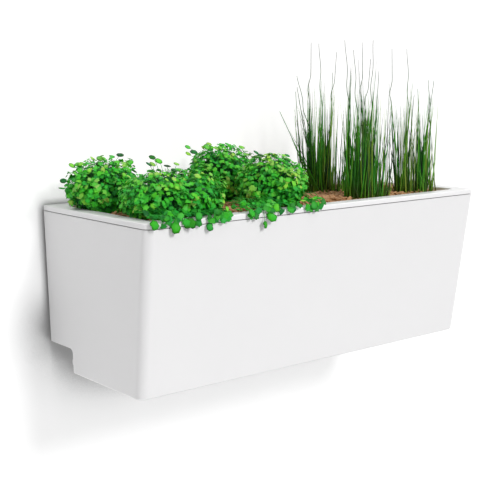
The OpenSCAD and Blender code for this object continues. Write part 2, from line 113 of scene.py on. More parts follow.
class Part(Enum):
    """What a selection in edit mode is made of."""

    VERT = "VERT"
    EDGE = "EDGE"
    FACE = "FACE"


class Join(Enum):
    """How one solid is worked into another."""

    CUT = "DIFFERENCE"
    ADD = "UNION"


class Bench:
    """Modelling tools, each of which works on the one object that it makes active."""

    @staticmethod
    def activate(obj: Obj | None) -> None:
        """Leaves edit mode and makes one object the only selected one.

        Args:
            obj: The object, or none.
        """
        if bpy.context.object and bpy.context.object.mode != "OBJECT":
            bpy.ops.object.mode_set(mode="OBJECT")
        bpy.ops.object.select_all(action="DESELECT")
        if obj:
            obj.select_set(True)
        bpy.context.view_layer.objects.active = obj

    @staticmethod
    def adopt(name: str) -> Obj:
        """Names the primitive just added and moves its place into its mesh.

        Args:
            name: Name of the piece.

        Returns:
            The object, at the origin, unturned and unscaled.
        """
        obj = bpy.context.object
        obj.name = name
        obj.data.name = name
        bpy.ops.object.transform_apply(location=True, rotation=True, scale=True)
        return obj

    @staticmethod
    def cuboid(name: str, low: Sequence[float], high: Sequence[float]) -> Obj:
        """Adds a box between two corners.

        Args:
            name: Name of the piece.
            low: Its lowest corner.
            high: Its highest corner.

        Returns:
            The new box.
        """
        Bench.activate(None)
        low, high = Vector(low), Vector(high)
        bpy.ops.mesh.primitive_cube_add(size=1.0, location=(low + high) / 2, scale=high - low)
        return Bench.adopt(name)

    @staticmethod
    def rod(name: str, radius: float, start: Sequence[float], end: Sequence[float], sides: int = 40) -> Obj:
        """Adds a round rod between two points.

        Args:
            name: Name of the piece.
            radius: Its radius.
            start: Middle of one end.
            end: Middle of the other end.
            sides: Number of its sides.

        Returns:
            The new rod.
        """
        Bench.activate(None)
        line = Vector(end) - Vector(start)
        turn = line.to_track_quat("Z", "Y").to_euler()
        middle = (Vector(start) + Vector(end)) / 2
        bpy.ops.mesh.primitive_cylinder_add(
            vertices=sides, radius=radius, depth=line.length, location=middle, rotation=turn
        )
        return Bench.adopt(name)

    @staticmethod
    @contextmanager
    def editing(obj: Obj) -> Iterator[None]:
        """Opens an object in edit mode for the length of a with block.

        Args:
            obj: The object.

        Returns:
            The context of that block.
        """
        Bench.activate(obj)
        bpy.ops.object.mode_set(mode="EDIT")
        yield
        bpy.ops.object.mode_set(mode="OBJECT")

    @staticmethod
    def pick(obj: Obj, part: Part, test: Test) -> int:
        """Selects the parts of an object in edit mode that pass a test.

        Args:
            obj: The object being edited.
            part: What is selected.
            test: Takes the middle of a part and its normal, or an edge's direction.

        Returns:
            How many parts were selected.
        """
        bpy.ops.mesh.select_mode(type=part.value)
        bpy.ops.mesh.select_all(action="DESELECT")
        mesh = bmesh.from_edit_mesh(obj.data)
        mesh.normal_update()
        count = 0
        if part is Part.VERT:
            found = [(v, v.co, v.normal) for v in mesh.verts]
        elif part is Part.EDGE:
            ends = [(e, e.verts[0].co, e.verts[1].co) for e in mesh.edges]
            found = [(e, (a + b) / 2, (b - a).normalized()) for e, a, b in ends]
        else:
            found = [(f, f.calc_center_median(), f.normal) for f in mesh.faces]
        for item, middle, way in found:
            chosen = test(middle, way)
            item.select_set(chosen)
            count += chosen
        mesh.select_flush_mode()
        bmesh.update_edit_mesh(obj.data)
        return count

    @staticmethod
    def shift(obj: Obj, by: Point, test: Test) -> None:
        """Moves the corners of an object in edit mode that pass a test."""
        Bench.pick(obj, Part.VERT, test)
        bpy.ops.transform.translate(value=by)

    @staticmethod
    def round_off(obj: Obj, radius: float, steps: int, test: Test) -> None:
        """Rounds the edges of an object that pass a test.

        Args:
            obj: The object.
            radius: Radius of the rounding.
            steps: Number of strips in the rounding.
            test: Takes an edge's middle and direction.
        """
        with Bench.editing(obj):
            if Bench.pick(obj, Part.EDGE, test):
                bpy.ops.mesh.bevel(offset=radius, segments=steps, affect="EDGES", clamp_overlap=True)

    @staticmethod
    def combine(body: Obj, how: Join, *tools: Obj) -> None:
        """Works solids into a body, one after the other, and deletes them.

        Args:
            body: The body that is kept.
            how: Whether the solids are cut out of it or added to it.
            tools: The solids.
        """
        for tool in tools:
            step = body.modifiers.new(how.name, "BOOLEAN")
            step.operation = how.value
            step.solver = "EXACT"
            step.object = tool
            Bench.apply(body, step)
            bpy.data.objects.remove(tool)

    @staticmethod
    def apply(obj: Obj, modifier: bpy.types.Modifier) -> None:
        """Applies a modifier to its object's mesh."""
        Bench.activate(obj)
        bpy.ops.object.modifier_apply(modifier=modifier.name)

    @staticmethod
    def bore(body: Obj, holes: Sequence[Point], low: float, high: float) -> None:
        """Cuts upright holes, each with its place and radius, into a body between two heights."""
        for x, y, r in holes:
            Bench.combine(body, Join.CUT, Bench.rod("bore", r, (x, y, low), (x, y, high)))

    @staticmethod
    def tidy(obj: Obj) -> None:
        """Merges doubled corners and turns all faces outwards.

        Args:
            obj: The object.
        """
        with Bench.editing(obj):
            bpy.ops.mesh.select_all(action="SELECT")
            bpy.ops.mesh.remove_doubles(threshold=1e-6)
            bpy.ops.mesh.normals_make_consistent(inside=False)

    @staticmethod
    def smooth(obj: Obj, degrees: float = 35.0) -> None:
        """Shades an object smooth over its roundings and flat on its large faces.

        Args:
            obj: The object.
            degrees: Edges sharper than this stay sharp.
        """
        Bench.activate(obj)
        bpy.ops.object.shade_smooth_by_angle(angle=math.radians(degrees))
        weigh = obj.modifiers.new("flat_faces", "WEIGHTED_NORMAL")
        weigh.keep_sharp = True
        weigh.weight = 100
        Bench.apply(obj, weigh)


class Wire:
    """An output of a shader node, joined to other outputs and numbers by Python operators."""

    def __init__(self, board: Board, socket: bpy.types.NodeSocket) -> None:
        """Keeps the board and the socket on it."""
        self.board = board
        self.socket = socket

    def __add__(self, other: Wire | float) -> Wire:
        """Sum of two values."""
        return self.board.sum_up("ADD", self, other)

    def __radd__(self, other: float) -> Wire:
        """Sum of a number and a value."""
        return self.board.sum_up("ADD", other, self)

    def __sub__(self, other: Wire | float) -> Wire:
        """Difference of two values."""
        return self.board.sum_up("SUBTRACT", self, other)

    def __rsub__(self, other: float) -> Wire:
        """Difference of a number and a value."""
        return self.board.sum_up("SUBTRACT", other, self)

    def __mul__(self, other: Wire | float) -> Wire:
        """Product of two values."""
        return self.board.sum_up("MULTIPLY", self, other)

    def __rmul__(self, other: float) -> Wire:
        """Product of a number and a value."""
        return self.board.sum_up("MULTIPLY", other, self)


class Board:
    """The nodes of one material or of the world."""

    def __init__(self, tree: bpy.types.NodeTree) -> None:
        """Starts with an empty tree."""
        self.tree = tree
        tree.nodes.clear()

    @classmethod
    def of_material(cls, name: str) -> tuple[bpy.types.Material, Board]:
        """Makes a material and gives it with its empty board."""
        made = bpy.data.materials.new(name)
        made.use_nodes = True
        return made, cls(made.node_tree)

    def node(
        self,
        kind: str,
        settings: dict[str, Any] | None = None,
        inputs: Inputs | None = None,
        output: str | int = 0,
    ) -> Wire:
        """Adds a node.

        Args:
            kind: The node's type.
            settings: Its own settings, set first; a ramp's stops are pairs of place and colour.
            inputs: Values or wires for its sockets, by name or number.
            output: The output that is used.

        Returns:
            That output.
        """
        made = self.tree.nodes.new(kind)
        for name, value in (settings or {}).items():
            if name == "stops":
                ramp = made.color_ramp.elements
                while len(ramp) < len(value):
                    ramp.new(1.0)
                for stop, (place, colour) in zip(ramp, value):
                    stop.position = place
                    stop.color = colour
            else:
                setattr(made, name, value)
        for name, value in (inputs or {}).items():
            if isinstance(value, Wire):
                self.tree.links.new(value.socket, made.inputs[name])
            else:
                made.inputs[name].default_value = value
        if not made.outputs:
            return Wire(self, None)
        return Wire(self, made.outputs[output])

    def sum_up(self, operation: str, left: Wire | float, right: Wire | float) -> Wire:
        """Adds a Math node on two values."""
        return self.node("ShaderNodeMath", {"operation": operation}, {0: left, 1: right})

    def place(self, scale: Point = (1.0, 1.0, 1.0)) -> Wire:
        """Gives the point on the piece in its own coordinates, stretched by a scale."""
        spot = self.node("ShaderNodeTexCoord", output="Object")
        return self.node("ShaderNodeMapping", {}, {"Vector": spot, "Scale": scale})

    def mottle(self, scale: float, detail: float = 3.0, stretch: Point = (1.0, 1.0, 1.0)) -> Wire:
        """Adds a noise about 0.5, with so many patches in a metre, squeezed along each axis."""
        inputs = {"Vector": self.place(stretch), "Scale": scale, "Detail": detail, "Roughness": 0.55}
        return self.node("ShaderNodeTexNoise", {}, inputs, "Fac")

    def cells(self, scale: float, output: str = "Distance") -> Wire:
        """Adds a pattern of cells, so many in a metre, and gives one of its outputs."""
        return self.node("ShaderNodeTexVoronoi", {}, {"Vector": self.place(), "Scale": scale}, output)

    def height(self) -> Wire:
        """Gives the height of the point on the piece."""
        spot = self.node("ShaderNodeTexCoord", output="Object")
        return self.node("ShaderNodeSeparateXYZ", {}, {"Vector": spot}, "Z")

    def attribute(self, name: str) -> Wire:
        """Reads a value that the mesh carries at its corners."""
        return self.node("ShaderNodeAttribute", {"attribute_name": name}, {}, "Fac")

    def ramp(self, value: Wire, *stops: tuple[float, Colour]) -> Wire:
        """Turns a value into a colour by stops along it."""
        return self.node("ShaderNodeValToRGB", {"stops": stops}, {"Fac": value}, "Color")

    def mix(
        self, share: Wire | float, first: Wire | Colour, second: Wire | Colour, blend: str = "MIX"
    ) -> Wire:
        """Mixes two colours, by the share of the second one."""
        settings = {"data_type": "RGBA", "blend_type": blend}
        return self.node("ShaderNodeMix", settings, {0: share, 6: first, 7: second}, 2)

    def bump(self, height: Wire, depth: float) -> Wire:
        """Turns a height of 0 to 1, which stands out by a depth in metres, into a bent normal."""
        return self.node("ShaderNodeBump", {}, {"Height": height, "Distance": depth, "Strength": 1.0})

    def surface(self, shader: Wire) -> None:
        """Makes a shader the material's surface."""
        self.node("ShaderNodeOutputMaterial", {}, {"Surface": shader})


@dataclass(frozen=True)
class Finish:
    """A surface that is laid on pieces.

    Attributes:
        name: Name of the material.
    """

    name: str

    def inputs(self, board: Board) -> Inputs:
        """Gives the values and wires of the principled shader."""
        raise NotImplementedError

    def material(self) -> bpy.types.Material:
        """Makes the material on its first use, and gives it again after that.

        Returns:
            The material.
        """
        known = bpy.data.materials.get(self.name)
        if known:
            return known
        made, board = Board.of_material(self.name)
        board.surface(board.node("ShaderNodeBsdfPrincipled", {}, self.inputs(board)))
        return made

    def lay_on(self, piece: Obj) -> None:
        """Makes this the piece's only material."""
        piece.data.materials.clear()
        piece.data.materials.append(self.material())


@dataclass(frozen=True)
class Moulded(Finish):
    """Moulded plastic with a fine satin grain and faint flow marks.

    Attributes:
        colour: Its colour.
        rough: Its mean roughness.
        grain: Depth of the grain.
    """

    colour: Colour = (0.86, 0.855, 0.86, 1.0)
    rough: float = 0.34
    grain: float = 0.00002

    def inputs(self, board: Board) -> Inputs:
        """Cloudy gloss, a slight shift in tone and a fine grain.

        Args:
            board: Its board.

        Returns:
            The shader's inputs.
        """
        clouds = board.mottle(7.0, 4.0)
        shade = tuple(v * 0.97 for v in self.colour[:3]) + (1.0,)
        return {
            "Base Color": board.mix(clouds, self.colour, shade),
            "Roughness": board.mottle(60.0, 3.0) * 0.14 + (self.rough - 0.07),
            "Specular IOR Level": 0.42,
            "Normal": board.bump(board.mottle(2600.0, 2.0), self.grain),
        }


@dataclass(frozen=True)
class Seamed(Moulded):
    """Moulded plastic with painted shade in the narrow gap under its rim.

    Attributes:
        gap: Lowest and highest level of the gap.
        painted_shade: Colour of the painted shade in the gap.
    """

    gap: Pair = (0.2169, 0.21802)
    painted_shade: Colour = (0.2, 0.19, 0.2, 1.0)

    def inputs(self, board: Board) -> Inputs:
        """The moulded surface, with painted shade between the two levels.

        Args:
            board: Its board.

        Returns:
            The shader's inputs.
        """
        inputs = super().inputs(board)
        low, high = self.gap
        above = board.sum_up("GREATER_THAN", board.height(), at(low))
        below = board.sum_up("LESS_THAN", board.height(), at(high))
        # Painted shade: the narrow gap under the rim is darkened in the colour.
        inputs["Base Color"] = board.mix(above * below, inputs["Base Color"], self.painted_shade)
        return inputs


@dataclass(frozen=True)
class EdgeHighlit(Moulded):
    """Moulded plastic with a painted highlight on the edges where its ends round into the back and the
    underside.

    Attributes:
        edge: Colour of the painted highlight on those edges.
        flat: Smallest and largest square of the normal's part along X that counts as rounded.
        away: Smallest part of the normal towards the back or downwards.
    """

    edge: Colour = (1.0, 1.0, 1.0, 1.0)
    flat: Pair = (0.03, 0.985)
    away: float = 0.2

    def inputs(self, board: Board) -> Inputs:
        """The moulded surface, paler on the rounded edges.

        Args:
            board: Its board.

        Returns:
            The moulded surface, with a painted highlight on the rounded edges.
        """
        inputs = super().inputs(board)
        normal = board.node("ShaderNodeNewGeometry", {}, {}, "True Normal")
        x, y, z = (board.node("ShaderNodeSeparateXYZ", {}, {"Vector": normal}, axis) for axis in "XYZ")
        least, most = self.flat
        turned = board.sum_up("GREATER_THAN", x * x, least) * board.sum_up("LESS_THAN", x * x, most)
        behind = board.sum_up("GREATER_THAN", board.sum_up("MAXIMUM", y, 0.0 - z), self.away)
        # Painted highlight: rounded facets that face back or down are paler in the colour.
        inputs["Base Color"] = board.mix(turned * behind, inputs["Base Color"], self.edge)
        return inputs


@dataclass(frozen=True)
class Galvanised(Finish):
    """Galvanised sheet with its pattern of zinc crystals.

    Attributes:
        colour: Its mean colour.
    """

    colour: Colour = (0.56, 0.58, 0.6, 1.0)

    def inputs(self, board: Board) -> Inputs:
        """Crystals that differ in tone and gloss.

        Args:
            board: Its board.

        Returns:
            The shader's inputs.
        """
        spark = board.node("ShaderNodeSeparateColor", {}, {"Color": board.cells(95.0, "Color")})
        bright = tuple(min(1.0, v * 1.25) for v in self.colour[:3]) + (1.0,)
        return {
            "Base Color": board.mix(spark, self.colour, bright),
            "Metallic": 1.0,
            "Roughness": spark * 0.2 + 0.28,
            "Normal": board.bump(board.mottle(400.0), 0.00004),
        }


@dataclass(frozen=True)
class Drawn(Finish):
    """Bright drawn steel with fine lines along its length."""

    def inputs(self, board: Board) -> Inputs:
        """Lines along X."""
        lines = board.mottle(1500.0, 2.0, (0.02, 1.0, 1.0))
        return {
            "Base Color": board.mix(lines, (0.5, 0.5, 0.52, 1.0), (0.68, 0.68, 0.7, 1.0)),
            "Metallic": 1.0,
            "Roughness": lines * 0.2 + 0.18,
            "Normal": board.bump(lines, 0.00002),
        }


@dataclass(frozen=True)
class Rubber(Finish):
    """Soft dark rubber with a dusty bloom."""

    def inputs(self, board: Board) -> Inputs:
        """Bloom in patches over a matt ground."""
        bloom = board.mottle(55.0, 5.0)
        return {
            "Base Color": board.mix(bloom, (0.018, 0.018, 0.02, 1.0), (0.06, 0.06, 0.062, 1.0)),
            "Roughness": bloom * 0.25 + 0.6,
            "Normal": board.bump(board.mottle(1800.0), 0.00003),
        }


@dataclass(frozen=True)
class Clear(Finish):
    """Clear moulded plastic with a few fine scuffs."""

    def inputs(self, board: Board) -> Inputs:
        """Scuffs dull the gloss along the cap."""
        scuff = board.mottle(300.0, 4.0, (1.0, 1.0, 0.2))
        return {
            "Base Color": (0.93, 0.97, 0.97, 1.0),
            "Transmission Weight": 1.0,
            "IOR": 1.49,
            "Roughness": scuff * 0.1 + 0.02,
        }


@dataclass(frozen=True)
class Felt(Finish):
    """Needled felt: tangled pale fibres."""

    def inputs(self, board: Board) -> Inputs:
        """Fibres in two scales, with small dents of the needles.

        Args:
            board: Its board.

        Returns:
            The shader's inputs.
        """
        fibres = board.mottle(900.0, 5.0, (1.0, 1.0, 0.35))
        dents = board.cells(420.0)
        return {
            "Base Color": board.ramp(fibres, (0.3, srgb(196, 188, 168)), (0.7, srgb(231, 225, 208))),
            "Roughness": 0.95,
            "Sheen Weight": 0.3,
            "Normal": board.bump(fibres * 0.7 + dents * 0.3, 0.0005),
        }


@dataclass(frozen=True)
class Soil(Finish):
    """Potting mix of peat crumbs and bark fibre."""

    def inputs(self, board: Board) -> Inputs:
        """Dark crumbs with a few pale grains.

        Args:
            board: Its board.

        Returns:
            The shader's inputs.
        """
        crumbs = board.mottle(160.0, 6.0)
        grains = board.cells(260.0)
        ground = board.ramp(
            crumbs, (0.3, srgb(34, 22, 15)), (0.55, srgb(66, 44, 29)), (0.8, srgb(104, 76, 52))
        )
        return {
            "Base Color": ground,
            "Roughness": grains * 0.2 + 0.75,
            "Normal": board.bump(crumbs, 0.003),
        }


@dataclass(frozen=True)
class Bark(Finish):
    """Shredded bark: each chip with its own tone and grain."""

    def inputs(self, board: Board) -> Inputs:
        """Tones from dark heart to pale fibre by the chip's own tint.

        Args:
            board: Its board.

        Returns:
            The shader's inputs.
        """
        tint = board.attribute("tint")
        grain = board.mottle(420.0, 5.0, (0.35, 1.0, 1.6))
        tone = board.ramp(
            tint * 0.8 + grain * 0.35 - 0.08,
            (0.05, srgb(26, 8, 3)),
            (0.3, srgb(104, 38, 8)),
            (0.6, srgb(214, 96, 18)),
            (0.95, srgb(252, 188, 96)),
        )
        return {
            "Base Color": tone,
            "Roughness": grain * 0.2 + 0.68,
            "Normal": board.bump(grain, 0.0008),
        }


@dataclass(frozen=True)
class CressLeaf(Finish):
    """Soft round leaves: each with its own green, and painted shade that darkens it towards the rim."""

    def inputs(self, board: Board) -> Inputs:
        """Green by the leaf's tint, with painted shade from middle to rim.

        Args:
            board: Its board.

        Returns:
            The shader's inputs.
        """
        tint = board.attribute("tint")
        rim = board.attribute("rim")
        patch = board.mottle(240.0, 3.0)
        hue = board.mottle(75.0, 1.0)
        green = board.ramp(
            tint + patch * 0.16 - 0.08,
            (0.0, srgb(4, 30, 3)),
            (0.2, srgb(16, 92, 6)),
            (0.42, srgb(44, 160, 14)),
            (0.62, srgb(58, 196, 34)),
            (0.8, srgb(100, 214, 64)),
            (1.0, srgb(168, 222, 100)),
        )
        warm = board.mix(1.0, green, (1.15, 1.0, 0.6, 1.0), "MULTIPLY")
        cool = board.mix(0.4, green, srgb(16, 150, 84))
        own = board.node("ShaderNodeTexWhiteNoise", {"noise_dimensions": "1D"}, {"W": tint * 977.0}, "Value")
        leaf = board.mix(hue * 1.6 + own * 1.1 - 0.85, warm, cool)
        # Painted shade: each leaf's green darkens towards its rim.
        edge = board.mix(1.0, leaf, (0.5, 0.6, 0.4, 1.0), "MULTIPLY")
        return {
            "Base Color": board.mix(rim * rim * 0.6, leaf, edge),
            "Roughness": patch * 0.2 + 0.42,
            "Specular IOR Level": 0.22,
            "Normal": board.bump(patch, 0.0004),
        }


@dataclass(frozen=True)
class RushStem(Finish):
    """Smooth upright stems: olive at the foot, green above and grey at the tip."""

    def inputs(self, board: Board) -> Inputs:
        """Green by the stem's own tint, olive low down and grey high up, with fine lines up it.

        Args:
            board: Its board.

        Returns:
            The shader's inputs.
        """
        tint = board.attribute("tint")
        along = board.attribute("rim")
        lines = board.mottle(1500.0, 2.0, (1.0, 1.0, 0.03))
        fresh = board.ramp(
            tint,
            (0.0, srgb(8, 28, 6)),
            (0.2, srgb(20, 70, 10)),
            (0.4, srgb(38, 122, 16)),
            (0.58, srgb(58, 168, 30)),
            (0.75, srgb(118, 172, 34)),
            (0.9, srgb(168, 194, 76)),
            (1.0, srgb(168, 190, 140)),
        )
        olive = board.mix(0.4, fresh, srgb(104, 100, 24))
        foot = board.mix(1.0 - along * 7.0, fresh, olive)
        tip = board.mix(along * 3.2 - 1.85, foot, srgb(92, 98, 90))
        return {
            "Base Color": board.mix(lines * 0.3, tip, board.mix(1.0, tip, (0.4, 0.5, 0.4, 1.0), "MULTIPLY")),
            "Roughness": lines * 0.2 + 0.38,
            "Specular IOR Level": 0.4,
            "Normal": board.bump(lines, 0.0002),
        }


WHITE = EdgeHighlit("white_shell")
LINER_WHITE = Seamed("white_liner", (0.88, 0.876, 0.88, 1.0), 0.32)
FITTING = Moulded("pale_fitting", (0.7, 0.71, 0.72, 1.0), 0.45, 0.00003)
RED = Moulded("red_marker", srgb(206, 28, 20), 0.25, 0.00001)
FOAM = Moulded("float_white", (0.82, 0.81, 0.76, 1.0), 0.7, 0.00025)
ZINC = Galvanised("zinc_sheet")
PIN_STEEL = Drawn("pin_steel")
RUBBER = Rubber("dark_rubber")
CLEAR = Clear("clear_cap")
FELT = Felt("wick_felt")
SOIL = Soil("potting_mix")
BARK = Bark("bark_chips")
LEAF = CressLeaf("cress_green")
STEM = RushStem("rush_green")


@dataclass(frozen=True)
class Outline:
    """Outline of the box at every level, which leans in towards its foot.

    Attributes:
        width: Width across the top.
        depth: Depth at the top.
        height: Height up to the seam.
        front_lean: How far the front leans in.
        end_lean: How far each end leans in.
        back: Place of the back face.
    """

    width: float = 0.600
    depth: float = 0.255
    height: float = 0.217
    front_lean: float = 0.030
    end_lean: float = 0.0045
    back: float = -0.005

    def half_width(self, level: float) -> float:
        """Half of the width at a level."""
        return self.width / 2 - self.end_lean * (self.height - level) / self.height

    def front(self, level: float) -> float:
        """Place of the front face at a level."""
        return self.back - self.depth + self.front_lean * (self.height - level) / self.height

    def block(
        self,
        name: str,
        low: float,
        high: float,
        inset: float,
        front_r: float,
        back_r: float,
        upright: bool = False,
    ) -> Obj:
        """Models a block that follows the outline between two levels.

        Args:
            name: Name of the piece.
            low: Level of its underside.
            high: Level of its top.
            inset: How far it is drawn in on every side.
            front_r: Radius of its front uprights.
            back_r: Radius of its back uprights.
            upright: Whether it keeps the outline of the box's top at every level.

        Returns:
            The block.
        """
        foot, top = (self.height, self.height) if upright else (low, high)
        wide, narrow = self.half_width(top) - inset, self.half_width(foot) - inset
        front, foot_front = self.front(top) + inset, self.front(foot) + inset
        back = self.back - inset
        body = Bench.cuboid(name, (-wide, front, at(low)), (wide, back, at(high)))
        middle = (front + back) / 2
        with Bench.editing(body):
            lean = (0.0, foot_front - front, 0.0)
            Bench.shift(body, lean, lambda p, n: p.z < at(low) + NEAR and p.y < middle)
            for side in (-1, 1):
                taper = (side * (narrow - wide), 0.0, 0.0)
                Bench.shift(body, taper, lambda p, n: p.z < at(low) + NEAR and p.x * side > 0)
        Bench.round_off(body, front_r, 12, lambda p, w: abs(w.z) > 0.8 and p.y < middle)
        Bench.round_off(body, back_r, 6, lambda p, w: abs(w.z) > 0.8 and p.y > back - NEAR)
        return body


@dataclass
class Shell:
    """The moulded outer shell with its step, bead and rail pocket.

    Attributes:
        outline: Outline of the box.
        wall: Thickness of its walls.
        front_r: Radius of its front uprights.
        back_r: Radius of its back uprights.
        foot_r: Radius round its underside.
        step_depth: Depth of the step in its lower back.
        step_height: Height of that step.
        step_r: Radius of the step's inner corner.
        lip_r: Radius of the step's outer edges.
        bead_r: Radius of the bead along the step.
        bead_level: Level of the bead's middle.
        bead_proud: How far the bead stands out.
        bead_short: How far the bead ends short of each end.
        pocket: Half width, depth, lowest, hook and highest level of the rail pocket.
        hook: Thickness of the rib that hangs on the rail.
        drain: Place of the drain hole and its radius.
    """

    outline: Outline
    wall: float = 0.003
    front_r: float = 0.012
    back_r: float = 0.002
    foot_r: float = 0.003
    step_depth: float = 0.061
    step_height: float = 0.034
    step_r: float = 0.007
    lip_r: float = 0.0018
    bead_r: float = 0.006
    bead_level: float = 0.016
    bead_proud: float = 0.003
    bead_short: float = 0.0005
    pocket: tuple[float, float, float, float, float] = (0.230, 0.009, 0.093, 0.166, 0.181)
    hook: float = 0.003
    drain: Point = (0.150, -0.038, 0.0074)

    def step(self, name: str, grow: float) -> Obj:
        """Models the room of the step, or of the wall that lines it when grown.

        Args:
            name: Name of the solid.
            grow: How far it is grown.

        Returns:
            The solid.
        """
        face, top = self.outline.back - self.step_depth - grow, at(self.step_height + grow)
        half = self.outline.width / 2 + OVER
        room = Bench.cuboid(name, (-half, face, at(-OVER)), (half, self.outline.back + OVER, top))
        Bench.round_off(
            room,
            self.step_r + grow,
            7,
            lambda p, w: abs(w.x) > 0.9 and p.y < face + NEAR and p.z > top - NEAR,
        )
        return room

    def build(self) -> Obj:
        """Models the shell.

        Returns:
            The shell as one closed solid.
        """
        outline, back = self.outline, self.outline.back
        body = outline.block("shell_body", 0.0, outline.height, 0.0, self.front_r, self.back_r)
        Bench.round_off(body, self.foot_r, 4, lambda p, w: p.z < at(0.0) + NEAR)
        half, deep, low, hook_level, top = self.pocket
        cavity = outline.block(
            "cavity", self.wall, outline.height + 0.002, self.wall, self.front_r - self.wall, LEAST_R
        )
        lining = Bench.cuboid(
            "lining",
            (-half - self.wall, back - deep - self.wall, at(low - self.wall)),
            (half + self.wall, back + OVER, at(top + self.wall)),
        )
        Bench.combine(cavity, Join.CUT, self.step("step_lining", self.wall), lining)
        entry = Bench.cuboid("entry", (-half, back - deep, at(low)), (half, back + OVER, at(hook_level)))
        slot = Bench.cuboid("slot", (-half, back - deep, at(low)), (half, back - self.hook, at(top)))
        Bench.combine(body, Join.CUT, cavity, self.step("step_room", 0.0))
        Bench.round_off(body, self.lip_r, 3, self.on_step_edge)
        reach = outline.half_width(self.bead_level) - self.bead_short
        y, level = back - self.step_depth - self.bead_r + self.bead_proud, at(self.bead_level)
        Bench.combine(
            body, Join.ADD, Bench.rod("bead", self.bead_r, (-reach, y, level), (reach, y, level), 48)
        )
        Bench.combine(body, Join.CUT, entry, slot)
        Bench.bore(body, (self.drain,), at(self.step_height - OVER), at(self.step_height + OVER))
        Bench.tidy(body)
        Bench.smooth(body)
        return body

    def on_step_edge(self, middle: Vector, way: Vector) -> bool:
        """Says whether an edge is one of the step's outer edges at the shell's ends.

        Args:
            middle: Middle of the edge.
            way: Its direction.

        Returns:
            True for the step's outline on either end of the shell.
        """
        face, top = self.outline.back - self.step_depth, at(self.step_height)
        half = self.outline.half_width(middle.z + DATUM)
        if abs(abs(middle.x) - half) >= 1e-4 or abs(way.x) >= 0.5:
            return False
        on_top = abs(middle.z - top) < NEAR
        on_face = abs(middle.y - face) < NEAR
        beside = face - NEAR < middle.y < face + self.step_r
        below = top - self.step_r < middle.z < top + NEAR
        return on_top or on_face or (beside and below)

    def make(self) -> list[Obj]:
        """Builds the shell and lays its finish on it.

        Returns:
            The pieces.
        """
        piece = self.build()
        WHITE.lay_on(piece)
        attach(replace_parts(piece, "outer_shell"), "box")
        return [piece]


